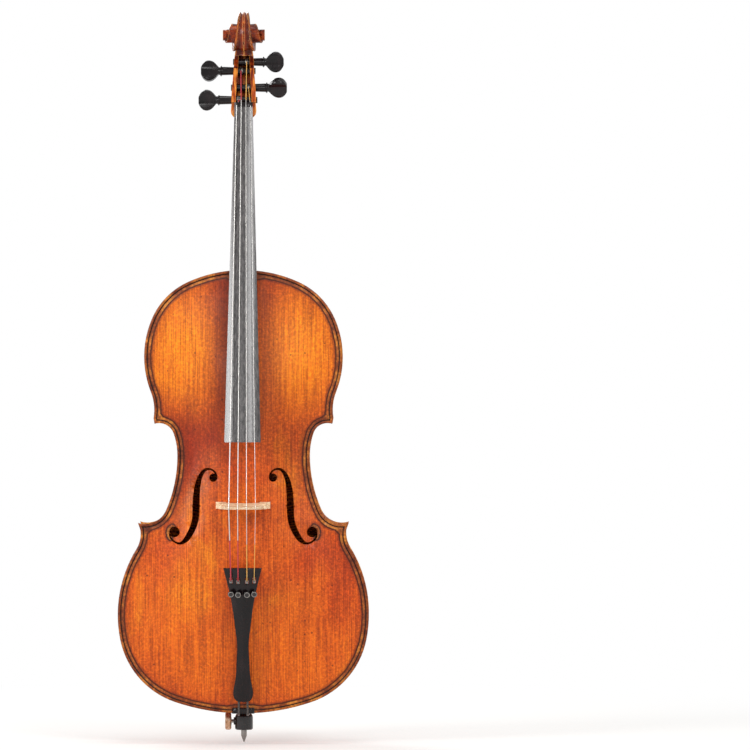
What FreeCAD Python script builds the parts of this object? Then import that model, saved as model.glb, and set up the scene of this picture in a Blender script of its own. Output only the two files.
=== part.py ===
"""A full-size cello: carved sound box, neck and scroll, ebony fittings, strings, fine tuners and endpin.

Frame: millimetres, +Z up along the body, -Y is the front (belly) side, +X is the treble side.
The origin is the point of the endpin, on the floor. Y = 0 is the middle of the rib height.
"""
import math
import os

import FreeCAD
import Part

V = FreeCAD.Vector
OUT = "parts"

# ---------------------------------------------------------------- body outline
# Each bout is a chain of tangent arcs: (radius, degrees turned), + turns clockwise seen from the front.
BODY_BOTTOM = 52.0                  # height of the lower edge of the plates above the floor
BODY_LENGTH = 760.0
BODY_TOP = BODY_BOTTOM + BODY_LENGTH
UPPER_BOUT = ((229.9, 24.3), (122.5, 42.8), (165.0, 44.5), (-82.8, 31.6))
LOWER_BOUT = ((-363.1, 18.8), (-142.9, 59.9), (-215.3, 43.0), (48.3, 40.3))
WAIST_HALF_WIDTH = 113.0
WAIST_DROP = 64.4                   # narrowest place of the waist, below the end of the upper bout
WAIST_UP = ((117.7, 18.9), (26.6, 87.9))
WAIST_DOWN = ((-232.7, 23.7), (-39.0, 84.8))
BUTTON_WIDTH = 21.0
BUTTON_LENGTH = 16.0

# ---------------------------------------------------------------- sound box
RIB_HEIGHT = 118.0
RIB_THICKNESS = 1.5
OVERHANG = 4.0                      # plate edge beyond the ribs
EDGE_THICKNESS = 4.6
EDGE_ROUND = 1.2
FRONT_ARCH = 24.0                   # arching above the edge level
BACK_ARCH = 25.0
FRONT_THICKNESS = 4.6
BACK_THICKNESS = 5.0
CHANNEL_INSET = 11.0                # where the arching dies out, inside the edge
CHANNEL_DEPTH = 0.9
CHANNEL_STEP = 0.1                  # the arching starts this much below the purfling's inner side
PURFLING_INSET = 4.4
PURFLING_WIDTH = 1.7
PURFLING_DEPTH = 2.0
LINING_THICKNESS = 3.0
LINING_HEIGHT = 11.0
LINING_INSET = OVERHANG + RIB_THICKNESS + LINING_THICKNESS
EDGE_BAND = PURFLING_INSET + PURFLING_WIDTH
NECK_BLOCK_DEPTH = 38.0
NECK_BLOCK_HALF_WIDTH = 44.0
END_BLOCK_DEPTH = 22.0
END_BLOCK_HALF_WIDTH = 46.0
CORNER_BLOCK = 34.0
BASS_BAR_LENGTH = 582.0
BASS_BAR_WIDTH = 10.5
BASS_BAR_HEIGHT = 24.0
BASS_BAR_OFFSET = 25.0
POST_DIAMETER = 11.0
POST_OFFSET = 26.0
POST_BELOW_BRIDGE = 20.0

LONG_ARCH_BROADNESS = 2.0
CROSS_ARCH_BROADNESS = 1.35
ARCH_ROWS = 41
ARCH_COLUMNS = 31

# ---------------------------------------------------------------- sound holes (bass side; x, z, width)
F_STEM = ((-45.4, 458.0, 3.0), (-48.5, 465.8, 3.2), (-54.6, 470.2, 3.4), (-61.8, 471.0, 4.2), (-68.6, 466.4, 5.8),
          (-74.3, 456.6, 8.0), (-78.6, 439.2, 10.4), (-80.8, 407.5, 12.2), (-83.4, 378.0, 11.4),
          (-89.8, 362.6, 10.6), (-99.6, 348.4, 8.0), (-108.6, 343.6, 4.2), (-117.2, 346.0, 3.2),
          (-124.0, 352.4, 3.0), (-126.0, 360.0, 3.0))
F_NOTCH_INDEX = 7
F_EYES = ((-51.1, 456.3, 7.0), (-117.9, 363.1, 9.0))

# ---------------------------------------------------------------- neck and fingerboard
NUT_Z = 1092.5
NUT_WIDTH = 31.0
NUT_LENGTH = 8.0
NUT_RISE = 1.3
BOARD_END_Z = 517.4
BOARD_END_WIDTH = 62.0
BOARD_EDGE = 6.5
BOARD_RADIUS = 65.0
BOARD_GLUE_AT_NUT = -33.4
BOARD_SLOPE = 0.1738
NECK_LOW_Z = BODY_TOP - 12.0
NECK_HIGH_Z = NUT_Z
NECK_DEPTH_LOW = 23.0
NECK_DEPTH_HIGH = 20.5
NECK_MORTISE = 12.0
HEEL = ((59.0, 10.6, 828.0), (40.0, 12.6, 829.6), (20.0, 14.6, 832.5), (0.0, 16.6, 837.5), (-20.0, 18.4, 845.5),
        (-38.0, 19.8, 857.5), (-49.0, 20.6, 868.0), (-60.0, 21.0, 872.0), (-75.0, 21.2, 873.0))  # y, half width, top

# ---------------------------------------------------------------- head
# Level sections of the pegbox: z, front y, back y, half width in front, half width behind.
PEGBOX = ((1064.0, -28.0, -16.5, 7.0, 6.5), (1073.0, -35.5, -10.5, 14.0, 12.0), (1081.0, -36.5, -4.5, 21.6, 13.8),
          (1093.0, -36.0, 1.0, 22.0, 14.0), (1110.0, -32.0, 5.5, 21.2, 15.0), (1135.0, -21.0, 12.0, 19.6, 15.0),
          (1160.0, -10.0, 18.6, 17.6, 14.4))
THROAT = ((2.0, 1188.0), (25.5, 1179.0), 15.5)      # front point, back point, half width
CAVITY = ((1095.9, 14.3, -8.4), (1112.0, 13.9, -3.2), (1135.0, 12.6, 4.0), (1182.0, 10.4, 17.5))
EYE_Y = -13.0
EYE_Z = 1217.0
SCROLL_RADIUS = 40.0                # at the top of the scroll
SCROLL_TIGHTENING = 0.1135          # loss of radius per radian
SCROLL_HALF_WIDTHS = (11.5, 8.0, 13.0, 20.0, 21.0, 22.0, 27.0, 32.0, 35.0, 36.0)   # every 90 deg from the back
FLUTE_DEPTH = 2.2
EYE_RADIUS = 9.6

# ---------------------------------------------------------------- pegs: name, side, z, start of head, turn
PEGS = (("c", -1, 1104.9, 46.3, 10.0), ("a", 1, 1126.5, 42.6, 35.0), ("g", -1, 1155.7, 42.7, -12.0),
        ("d", 1, 1171.5, 36.9, 8.0))
PEG_AXIS_Y = -18.0                  # of the lowest peg
PEG_AXIS_SLOPE = 0.358
PEG_SMALL_RADIUS = 5.4
PEG_TAPER = 0.034
PEG_CLEARANCE = 0.04
PEG_HEAD_LENGTH = 31.5
PEG_HEAD_HEIGHT = 35.0
PEG_HEAD_THICKNESS = 14.0
COIL_X = {"c": -8.0, "a": 8.0, "g": -5.2, "d": 4.6}

# ---------------------------------------------------------------- bridge, saddle and tail
BRIDGE_Z = 405.0
BRIDGE_HEIGHT = 90.5
BRIDGE_FOOT = 11.5
BRIDGE_TOP = 3.2
BRIDGE_CROWN_RADIUS = 68.0
BRIDGE_OUTER = ((46.5, -8.0), (46.5, 4.0), (41.5, 8.5), (38.6, 20.0), (37.6, 33.0), (41.0, 39.0), (38.0, 45.5),
                (30.0, 47.5), (27.0, 53.0), (30.0, 58.5), (36.0, 61.0), (35.0, 70.0), (33.0, 78.0), (31.0, 82.4))
BRIDGE_INNER = ((31.0, -8.0), (31.2, 4.0), (33.6, 9.0), (31.2, 20.0), (27.0, 28.0), (16.0, 33.5), (0.0, 35.0))
SADDLE_WIDTH = 38.0
SADDLE_HEIGHT = 9.0
SADDLE_ROUND = 3.0
TAIL_Z = 72.2                       # lower end of the tailpiece
TAIL_Y = -80.0
TAIL_LEAN = 15.1                    # degrees
TAIL_LENGTH = 239.0
TAIL_WIDTHS = ((0.0, 18.0), (5.0, 30.0), (11.0, 33.7), (35.0, 27.7), (60.0, 22.9), (85.0, 20.5), (107.0, 20.5),
               (119.0, 23.0), (149.0, 30.5), (TAIL_LENGTH - 45.5, 44.8), (TAIL_LENGTH - 17.0, 58.0),
               (TAIL_LENGTH, 66.4))
TAIL_THICKNESS = 9.5
TAIL_WALL = 4.0
CORD_RADIUS = 1.9
CORD_SPREAD = 7.5
CORD_CLEARANCE = 0.25
CORD_LOOP_Z = 53.0                  # between the housing and the lower rib

# ---------------------------------------------------------------- fine tuners (in the tailpiece's own frame)
TUNER_X = {"c": -19.8, "g": -7.5, "d": 7.5, "a": 19.8}
HOLLOW_STATIONS = (TAIL_LENGTH - 69.0, TAIL_LENGTH - 45.5, TAIL_LENGTH - 17.0, TAIL_LENGTH - 7.0)
PIVOT_TO_END = 12.5                 # pivots of the levers, before the tailpiece's upper end
SHORT_ARM = 10.0
LONG_ARM = 33.0
TUNER_PIVOT_W = TAIL_LENGTH - PIVOT_TO_END
TUNER_FORK_W = TUNER_PIVOT_W - SHORT_ARM
TUNER_SCREW_W = TUNER_PIVOT_W - LONG_ARM
KNOB_RADIUS = 5.3
SCREW_RADIUS = 1.5
RUNNING_FIT = 0.05
PIVOT_Y = 9.6
KNOB_CAP = 0.9                      # metal of the knob in front of its screw
ARM_HALF = 2.2                      # half the width of a lever's long arm
ARM_FRONT = 1.6                     # front of the arm before its pivot
ARM_GAP = 0.4
ARM_PAST_SCREW = 3.5
ARM_PAST_PIVOT = 2.4
BALL_ROOM = 6.8                     # slot below the fork, for the string's ball as the lever tilts

# ---------------------------------------------------------------- strings
STRING_RADIUS = {"c": 0.95, "g": 0.75, "d": 0.58, "a": 0.42}
BRIDGE_X = {"c": -22.7, "g": -7.6, "d": 7.6, "a": 22.7}
NUT_X = {"c": -11.9, "g": -4.0, "d": 4.0, "a": 11.9}
SILK_FROM = {"c": 351.0, "g": 351.0, "d": 344.0, "a": 344.0}
SILK_EXTRA = 0.12

# ---------------------------------------------------------------- endpin
ROD_RADIUS = 5.0
ROD_LENGTH = 430.0
ROD_POINT = 11.0
ROD_GROOVE_Z = 20.5                 # groove that keeps a rubber tip on
GROOVE_DEPTH = 0.4
PLUG_RADIUS = 13.0
PLUG_TIP_RADIUS = 11.0
FERRULE_RADIUS = 8.75
HOUSING_RADIUS = 15.5
HOUSING_LOW = 21.0
HOUSING_HIGH = 50.5
THUMB_Z = 36.0

FRONT_FACE = -RIB_HEIGHT / 2        # gluing plane of the belly
BACK_FACE = RIB_HEIGHT / 2          # gluing plane of the back





def arc_chain(start, heading, arcs):
    """Tangent arcs from start in the XZ plane; heading in degrees from +X. Returns edges and the end point."""
    edges = []
    x, z = start
    for radius, turn in arcs:
        side = -1.0 if radius > 0 else 1.0
        r = abs(radius)
        cx = x - side * r * math.sin(math.radians(heading))
        cz = z + side * r * math.cos(math.radians(heading))
        first = math.atan2(z - cz, x - cx)
        points = []
        for share in (0.0, 0.5, 1.0):
            angle = first + side * math.radians(turn * share)
            points.append(V(cx + r * math.cos(angle), 0, cz + r * math.sin(angle)))
        edges.append(Part.Arc(points[0], points[1], points[2]).toShape())
        x, z = points[2].x, points[2].z
        heading += side * turn
    return edges, V(x, 0, z)


def mirrored(shape):
    return shape.mirror(V(0, 0, 0), V(1, 0, 0))


def widest(edges):
    """The place where a bout is widest."""
    return max((point for edge in edges for point in edge.discretize(60)), key=lambda point: point.x)


UPPER_EDGES, UPPER_END = arc_chain((0.0, BODY_TOP), 0.0, UPPER_BOUT)
LOWER_EDGES, LOWER_END = arc_chain((0.0, BODY_BOTTOM), 0.0, LOWER_BOUT)
WAIST_Z = UPPER_END.z - WAIST_DROP
WAIST_UP_EDGES, WAIST_TOP = arc_chain((WAIST_HALF_WIDTH, WAIST_Z), 90.0, WAIST_UP)
WAIST_DOWN_EDGES, WAIST_FOOT = arc_chain((WAIST_HALF_WIDTH, WAIST_Z), -90.0, WAIST_DOWN)
UPPER_CORNER = (UPPER_END + WAIST_TOP) * 0.5
LOWER_CORNER = (LOWER_END + WAIST_FOOT) * 0.5
UPPER_WIDEST = widest(UPPER_EDGES)
LOWER_WIDEST = widest(LOWER_EDGES)


def outline_face():
    """Plan of a plate: four bouts a side, joined by the short straight ends of the corners."""
    edges = UPPER_EDGES + LOWER_EDGES + WAIST_UP_EDGES + WAIST_DOWN_EDGES
    edges.append(Part.LineSegment(UPPER_END, WAIST_TOP).toShape())
    edges.append(Part.LineSegment(WAIST_FOOT, LOWER_END).toShape())
    edges += [mirrored(edge) for edge in edges]
    return Part.Face(Part.Wire(Part.__sortEdges__(edges)))


OUTLINE = outline_face()


def inset(distance):
    """The outline moved inwards by a distance."""
    return OUTLINE.makeOffset2D(-distance, join=2)


def prism(face, y_from, y_to):
    """A face of the XZ plane pushed through Y."""
    moved = face.copy()
    moved.translate(V(0, y_from, 0))
    return moved.extrude(V(0, y_to - y_from, 0))


def ring(outer, inner, y_from, y_to):
    """The band between two insets of the outline."""
    return prism(inset(outer), y_from, y_to).cut(prism(inset(inner), y_from, y_to))


def box(x0, x1, y0, y1, z0, z1):
    return Part.makeBox(x1 - x0, y1 - y0, z1 - z0, V(x0, y0, z0))


def polygon_xz(points):
    return Part.Face(Part.makePolygon([V(x, 0, z) for x, z in points] + [V(points[0][0], 0, points[0][1])]))


# ---------------------------------------------------------------- arching
def swell(share, broadness):
    """1 at the crown, 0 and level at the channel; a larger broadness makes a fuller arch."""
    return 0.5 * (1.0 + math.cos(math.pi * min(1.0, abs(share)) ** broadness))


def half_width(z):
    """Half width of the arched field: the bouts and the waist, without the corners."""
    low, waist, high = LOWER_WIDEST.z, WAIST_Z, UPPER_WIDEST.z
    if z < low:
        share = (low - z) / (low - BODY_BOTTOM)
        width = LOWER_WIDEST.x * math.sqrt(max(0.0, 1.0 - share ** 2.5))
    elif z < waist:
        width = WAIST_HALF_WIDTH + (LOWER_WIDEST.x - WAIST_HALF_WIDTH) * swell((z - low) / (waist - low), 1.1)
    elif z < high:
        width = WAIST_HALF_WIDTH + (UPPER_WIDEST.x - WAIST_HALF_WIDTH) * swell((high - z) / (high - waist), 1.0)
    else:
        share = (z - high) / (BODY_TOP - high)
        width = UPPER_WIDEST.x * math.sqrt(max(0.0, 1.0 - share ** 2.5))
    return max(20.0, width - CHANNEL_INSET)


def arch_height(x, z, arch):
    """Height of a plate's outer surface above the floor of the channel."""
    middle = BODY_BOTTOM + BODY_LENGTH / 2
    reach = BODY_LENGTH / 2 - CHANNEL_INSET
    long_arch = swell((z - middle) / reach, LONG_ARCH_BROADNESS)
    return arch * long_arch * swell(x / half_width(z), CROSS_ARCH_BROADNESS)


def under_arch(side, arch, level, y_base):
    """Everything between the plane y_base and the arched surface that starts at the given level."""
    rows = []
    for i in range(ARCH_ROWS):
        z = BODY_BOTTOM - 6.0 + (BODY_LENGTH + 12.0) * i / (ARCH_ROWS - 1)
        row = []
        for j in range(ARCH_COLUMNS):
            x = (LOWER_WIDEST.x + 6.0) * (2.0 * j / (ARCH_COLUMNS - 1) - 1.0)
            row.append(V(x, side * (RIB_HEIGHT / 2 + level + arch_height(x, z, arch)), z))
        rows.append(row)
    surface = Part.BSplineSurface()
    surface.interpolate(rows)
    block = surface.toShape().extrude(V(0, -side * 150.0, 0))
    far = side * 200.0
    keep = box(-400, 400, min(y_base, far), max(y_base, far), -50, 1000)
    return block.common(keep)




def plate_blank(side, arch):
    """A solid arched plate: raised edge, a channel just inside it and the swelling middle."""
    glue = side * RIB_HEIGHT / 2
    top = glue + side * EDGE_THICKNESS
    floor = top - side * CHANNEL_DEPTH
    rim = prism(OUTLINE, glue, top)
    edges = [e for e in rim.Edges if abs(e.BoundBox.YMin - top) < 0.001 and e.BoundBox.YLength < 0.001]
    rim = rim.makeChamfer(EDGE_ROUND, edges)
    low_wire = inset(EDGE_BAND).OuterWire.copy()
    low_wire.translate(V(0, floor, 0))
    high_wire = inset(EDGE_BAND - 3.0).OuterWire.copy()
    high_wire.translate(V(0, top + side * 0.1, 0))
    dish = Part.makeLoft([low_wire, high_wire], True, True)
    field = prism(inset(EDGE_BAND), glue, glue + side * 60.0)
    arched = field.common(under_arch(side, arch, EDGE_THICKNESS - CHANNEL_DEPTH - CHANNEL_STEP, glue))
    return rim.cut(dish).cut(field).fuse(arched)


def hollow(side, arch, thickness):
    """The space inside the arching, bounded by the linings."""
    glue = side * RIB_HEIGHT / 2
    room = prism(inset(LINING_INSET + 0.5), glue, glue + side * 60.0)
    return room.common(under_arch(side, arch, EDGE_THICKNESS - CHANNEL_DEPTH - thickness, glue))


def purfling(side, blank):
    """The inlaid line: the ring of the plate that lies above the groove floor."""
    groove_floor = side * (RIB_HEIGHT / 2 + EDGE_THICKNESS - PURFLING_DEPTH - CHANNEL_DEPTH / 2)
    band = ring(PURFLING_INSET, PURFLING_INSET + PURFLING_WIDTH, groove_floor, side * 80.0)
    return blank.common(band)


# ---------------------------------------------------------------- sound holes
def f_hole():
    """The bass-side sound hole as a cutter: a swelling stem that curls round to an eye at each end."""
    left, right = [], []
    count = len(F_STEM)
    for i, (x, z, width) in enumerate(F_STEM):
        before, after = F_STEM[max(0, i - 1)], F_STEM[min(count - 1, i + 1)]
        dx, dz = after[0] - before[0], after[1] - before[1]
        length = math.hypot(dx, dz)
        nx, nz = -dz / length * width / 2, dx / length * width / 2
        left.append(V(x + nx, 0, z + nz))
        right.append(V(x - nx, 0, z - nz))
    edges = []
    for side in (left, right):
        curve = Part.BSplineCurve()
        curve.interpolate(side)
        edges.append(curve.toShape())
    edges.append(Part.LineSegment(left[0], right[0]).toShape())
    edges.append(Part.LineSegment(left[-1], right[-1]).toShape())
    face = Part.Face(Part.Wire(Part.__sortEdges__(edges)))
    cutter = prism(face, -130.0, FRONT_FACE + 1.0)
    for x, z, radius in F_EYES:
        cutter = cutter.fuse(Part.makeCylinder(radius, 71.0, V(x, -130.0, z), V(0, 1, 0)))
    middle = F_STEM[F_NOTCH_INDEX]
    nick = polygon_xz([(middle[0] - 8.6, middle[1]), (middle[0] - 4.0, middle[1] + 2.2),
                       (middle[0] + 4.0, middle[1] + 2.6), (middle[0] + 8.6, middle[1] + 0.4),
                       (middle[0] + 4.0, middle[1] - 2.2), (middle[0] - 4.0, middle[1] - 2.6)])
    return cutter.fuse(prism(nick, -130.0, FRONT_FACE + 1.0))


# ---------------------------------------------------------------- plates and ribs
def make_top_plate(neck_root):
    blank = plate_blank(-1, FRONT_ARCH)
    inlay = purfling(-1, blank)
    hole = f_hole()
    plate = blank.cut(hollow(-1, FRONT_ARCH, FRONT_THICKNESS)).cut(inlay)
    plate = plate.cut(hole).cut(mirrored(hole)).cut(neck_root)
    plate = plate.cut(saddle_notch())
    inlay = inlay.cut(neck_root).cut(saddle_notch())
    return plate, inlay


def make_back_plate():
    blank = plate_blank(1, BACK_ARCH)
    inlay = purfling(1, blank)
    plate = blank.cut(hollow(1, BACK_ARCH, BACK_THICKNESS)).cut(inlay)
    half = BUTTON_WIDTH / 2
    shoulder = BODY_TOP + BUTTON_LENGTH - half
    arc = Part.Arc(V(-half, BACK_FACE, shoulder), V(0, BACK_FACE, shoulder + half), V(half, BACK_FACE, shoulder))
    sides = Part.makePolygon([V(half, BACK_FACE, shoulder), V(half, BACK_FACE, BODY_TOP - 3.0),
                              V(-half, BACK_FACE, BODY_TOP - 3.0), V(-half, BACK_FACE, shoulder)])
    face = Part.Face(Part.Wire(Part.__sortEdges__([arc.toShape()] + sides.Edges)))
    return plate.fuse(face.extrude(V(0, EDGE_THICKNESS, 0))), inlay


def waist_zone():
    """The plan area between the mitres of the upper and lower corners, treble side."""
    points = []
    for corner, bearing in ((UPPER_CORNER, -48.4), (LOWER_CORNER, 50.0)):
        x, z = corner.x, corner.z
        dx, dz = math.cos(math.radians(bearing)), math.sin(math.radians(bearing))
        pair = [(x - 110.0 * dx, z - 110.0 * dz), (x + 20.0 * dx, z + 20.0 * dz)]
        points += pair if not points else reversed(pair)
    return prism(polygon_xz(points), -100.0, 100.0)


def make_ribs(neck_root, plug_hole):
    """Six ribs bent to the outline, mitred at the corners and butted at the top and bottom blocks."""
    band = ring(OVERHANG, OVERHANG + RIB_THICKNESS, FRONT_FACE, BACK_FACE).cut(neck_root).cut(plug_hole)
    half = band.common(box(0, 300, -100, 100, 0, 900))
    waist = half.common(waist_zone())
    rest = half.cut(waist_zone())
    split = WAIST_Z
    upper = rest.common(box(0, 300, -100, 100, split, 900))
    lower = rest.common(box(0, 300, -100, 100, 0, split))
    return {"upper": upper, "waist": waist, "lower": lower}


def make_linings(side, neck_root):
    glue = side * RIB_HEIGHT / 2
    inner = glue - side * LINING_HEIGHT
    rib_inset = OVERHANG + RIB_THICKNESS
    return ring(rib_inset, LINING_INSET, glue, inner).cut(neck_root)


def inside_ribs(zone):
    return prism(inset(OVERHANG + RIB_THICKNESS), FRONT_FACE, BACK_FACE).common(zone)


def make_blocks(neck_root, plug_hole, linings):
    """Neck block, end block and the corner blocks, each notched over the linings."""
    top, bottom = BODY_TOP - OVERHANG - RIB_THICKNESS, BODY_BOTTOM + OVERHANG + RIB_THICKNESS
    neck = inside_ribs(box(-NECK_BLOCK_HALF_WIDTH, NECK_BLOCK_HALF_WIDTH, -60, 60, top - NECK_BLOCK_DEPTH, top))
    end = inside_ribs(box(-END_BLOCK_HALF_WIDTH, END_BLOCK_HALF_WIDTH, -60, 60, bottom, bottom + END_BLOCK_DEPTH))
    blocks = {"neck_block": neck.cut(neck_root), "end_block": end.cut(plug_hole)}
    for name, corner, bearing in (("upper", UPPER_CORNER, -48.4), ("lower", LOWER_CORNER, 50.0)):
        x, z = corner.x, corner.z
        dx, dz = math.cos(math.radians(bearing)), math.sin(math.radians(bearing))
        points = [(x + 10 * dx - 40 * dz, z + 10 * dz + 40 * dx), (x + 10 * dx + 40 * dz, z + 10 * dz - 40 * dx),
                  (x - CORNER_BLOCK * dx + 40 * dz, z - CORNER_BLOCK * dz - 40 * dx),
                  (x - CORNER_BLOCK * dx - 40 * dz, z - CORNER_BLOCK * dz + 40 * dx)]
        block = inside_ribs(prism(polygon_xz(points), -60, 60))
        blocks["corner_block_" + name + "_treble"] = block
        blocks["corner_block_" + name + "_bass"] = mirrored(block)
    for name in blocks:
        blocks[name] = blocks[name].cut(linings[0]).cut(linings[1])
    return blocks


def make_bass_bar():
    """A spruce bar glued along the inside of the belly under the bass foot, tapering to its ends."""
    room = hollow(-1, FRONT_ARCH, FRONT_THICKNESS)
    middle = BRIDGE_Z + 20.0
    low, high = middle - BASS_BAR_LENGTH / 2, middle + BASS_BAR_LENGTH / 2
    deepest = FRONT_FACE - FRONT_ARCH + BASS_BAR_HEIGHT
    points = [V(0, -100, low), V(0, -100, high), V(0, FRONT_FACE - 3, high)]
    curve = Part.Arc(V(0, FRONT_FACE - 3, high), V(0, deepest, middle), V(0, FRONT_FACE - 3, low)).toShape()
    lines = Part.makePolygon([points[2], points[1], points[0], V(0, FRONT_FACE - 3, low)])
    face = Part.Face(Part.Wire(Part.__sortEdges__([curve] + lines.Edges)))
    bar = face.extrude(V(BASS_BAR_WIDTH, 0, 0))
    bar.translate(V(-BASS_BAR_OFFSET - BASS_BAR_WIDTH / 2, 0, 0))
    above = under_arch(-1, FRONT_ARCH, EDGE_THICKNESS - CHANNEL_DEPTH - FRONT_THICKNESS, 60.0)
    return bar.common(above)


def make_sound_post():
    z = BRIDGE_Z - POST_BELOW_BRIDGE
    post = Part.makeCylinder(POST_DIAMETER / 2, 240.0, V(POST_OFFSET, -120.0, z), V(0, 1, 0))
    front = under_arch(-1, FRONT_ARCH, EDGE_THICKNESS - CHANNEL_DEPTH - FRONT_THICKNESS, 0.0)
    back = under_arch(1, BACK_ARCH, EDGE_THICKNESS - CHANNEL_DEPTH - BACK_THICKNESS, 0.0)
    return post.common(front).fuse(post.common(back)).removeSplitter()


# ---------------------------------------------------------------- neck, fingerboard, nut
def glue_y(z):
    """The plane where neck and fingerboard meet leans back towards the head."""
    return BOARD_GLUE_AT_NUT - BOARD_SLOPE * (NUT_Z - z)


def board_width(z):
    return NUT_WIDTH + (BOARD_END_WIDTH - NUT_WIDTH) * (NUT_Z - z) / (NUT_Z - BOARD_END_Z)


def board_crown(z):
    half = board_width(z) / 2
    return glue_y(z) - BOARD_EDGE - (BOARD_RADIUS - math.sqrt(BOARD_RADIUS ** 2 - half ** 2))


def behind_glue_plane(width):
    """Half space behind the fingerboard's gluing plane, as a big block."""
    low, high = 480.0, 1120.0
    face = Part.Face(Part.makePolygon([V(-width, glue_y(low), low), V(-width, glue_y(high), high),
                                       V(-width, 300, high), V(-width, 300, low), V(-width, glue_y(low), low)]))
    return face.extrude(V(2 * width, 0, 0))


def neck_section(z, half, front, back):
    """Half-round section of the neck, level at height z."""
    points = [V(-half, front, z), V(-half, front + 2.0, z)]
    arc = []
    for i in range(13):
        angle = math.pi * (1.0 - i / 12.0)
        arc.append(V(half * math.cos(angle), front + 2.0 + (back - front - 2.0) * math.sin(angle) ** 0.85, z))
    curve = Part.BSplineCurve()
    curve.interpolate(arc)
    lines = Part.makePolygon([arc[-1], V(half, front, z), points[0], arc[0]])
    return Part.Wire(Part.__sortEdges__([curve.toShape()] + lines.Edges))


def heel_section(y, half, z_out):
    """U-shaped section of the heel in a plane of constant y, open end inside the neck block."""
    arc = []
    length = z_out - BODY_TOP
    for i in range(9):
        angle = math.pi * (1.0 - i / 8.0)
        arc.append(V(half * math.cos(angle), y, BODY_TOP + length * math.sin(angle)))
    curve = Part.BSplineCurve()
    curve.interpolate(arc)
    root = BODY_TOP - NECK_MORTISE
    lines = Part.makePolygon([arc[-1], V(half, y, root), V(-half, y, root), arc[0]])
    return Part.Wire(Part.__sortEdges__([curve.toShape()] + lines.Edges))


def make_neck():
    """Neck and heel in one piece; the heel stands in the neck block and on the button of the back."""
    sections = []
    for share in (0.0, 0.35, 0.7, 1.0):
        z = NECK_LOW_Z + (NECK_HIGH_Z - NECK_LOW_Z) * share
        back = glue_y(z) + NECK_DEPTH_LOW + (NECK_DEPTH_HIGH - NECK_DEPTH_LOW) * share
        sections.append(neck_section(z, board_width(z) / 2, glue_y(z) - 8.0, back))
    shaft = Part.makeLoft(sections, True)
    heel = Part.makeLoft([heel_section(y, half, z) for y, half, z in HEEL], True)
    return shaft.fuse(heel).common(behind_glue_plane(60.0)).removeSplitter()


def make_fingerboard():
    """Ebony board, cambered across, hollowed underneath where it overhangs the belly."""
    sections = []
    for z in (BOARD_END_Z, NUT_Z):
        half = board_width(z) / 2
        base, side = glue_y(z), glue_y(z) - BOARD_EDGE
        arc = Part.Arc(V(-half, side, z), V(0, board_crown(z), z), V(half, side, z)).toShape()
        lines = Part.makePolygon([V(half, side, z), V(half, base, z), V(-half, base, z), V(-half, side, z)])
        sections.append(Part.Wire(Part.__sortEdges__([arc] + lines.Edges)))
    board = Part.makeLoft(sections, True, True)
    low, high = BOARD_END_Z - 5.0, BODY_TOP - 14.0
    start = V(0, glue_y(low) + 38.0, low)
    axis = V(0, glue_y(high) - glue_y(low), high - low)
    scoop = Part.makeCylinder(45.0, axis.Length, start, axis)
    scoop = scoop.common(box(-24, 24, -300, 100, 0, 1200))
    return board.cut(scoop)


def make_nut():
    half = NUT_WIDTH / 2
    crown = board_crown(NUT_Z)
    front = crown - NUT_RISE
    base = glue_y(NUT_Z) + 0.0
    arc = Part.Arc(V(-half, front + 3.0, NUT_Z), V(0, front, NUT_Z), V(half, front + 3.0, NUT_Z)).toShape()
    lines = Part.makePolygon([V(half, front + 3.0, NUT_Z), V(half, base, NUT_Z), V(-half, base, NUT_Z),
                              V(-half, front + 3.0, NUT_Z)])
    face = Part.Face(Part.Wire(Part.__sortEdges__([arc] + lines.Edges)))
    block = face.extrude(V(0, 0, NUT_LENGTH))
    slope = box(-40, 40, -20, 0, -20, 20)
    slope.rotate(V(0, 0, 0), V(1, 0, 0), -28)
    slope.translate(V(0, front, NUT_Z + 3.0))
    return block.cut(slope).common(behind_glue_plane(60).fuse(box(-40, 40, -100, 100, 0, 1200)))


def saddle_notch():
    """Where the ebony saddle is let into the edge of the belly."""
    return box(-SADDLE_WIDTH / 2, SADDLE_WIDTH / 2, FRONT_FACE - 20, FRONT_FACE, BODY_BOTTOM - 1, BODY_BOTTOM + 9.5)


# ---------------------------------------------------------------- head with pegbox and scroll
def head_section(front, back, half_front, half_back, flute):
    """Closed section across the head; front and back are (y, z) ends of its middle line."""
    length = math.hypot(back[0] - front[0], back[1] - front[1])
    half = [(0.0, half_front), (0.4 * length, half_front * 0.6 + half_back * 0.4), (length - 1.4, half_back),
            (length, half_back - 1.4), (length - flute, half_back * 0.5), (length, 0.0)]
    profile = half + [(depth, -x) for depth, x in reversed(half[:-1])]
    points = []
    for depth, x in profile:
        share = depth / length
        points.append(V(x, front[0] + (back[0] - front[0]) * share, front[1] + (back[1] - front[1]) * share))
    return Part.makePolygon(points + [points[0]])


def spiral_point(degrees, radius=None):
    """A point of the scroll's spiral; 0 is the top, 90 the front, 180 the underside of the first turn."""
    phi = math.radians(degrees)
    r = SCROLL_RADIUS * math.exp(-SCROLL_TIGHTENING * phi) if radius is None else radius
    return (EYE_Y - r * math.sin(phi), EYE_Z + r * math.cos(phi))


def scroll_half_width(degrees):
    place = max(0.0, degrees / 90.0 + 1.0)
    index = min(int(place), len(SCROLL_HALF_WIDTHS) - 2)
    share = min(1.0, place - index)
    return SCROLL_HALF_WIDTHS[index] * (1.0 - share) + SCROLL_HALF_WIDTHS[index + 1] * share


def volute(first, last):
    """One sweep of the scroll between two spiral angles."""
    sections = []
    steps = int(round((last - first) / 30.0))
    for i in range(steps + 1):
        angle = first + 30.0 * i
        half = scroll_half_width(angle)
        flute = FLUTE_DEPTH if angle <= 270.0 else 0.3
        sections.append(head_section(spiral_point(angle, 3.0), spiral_point(angle), half * 0.93, half, flute))
    return sections


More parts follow.
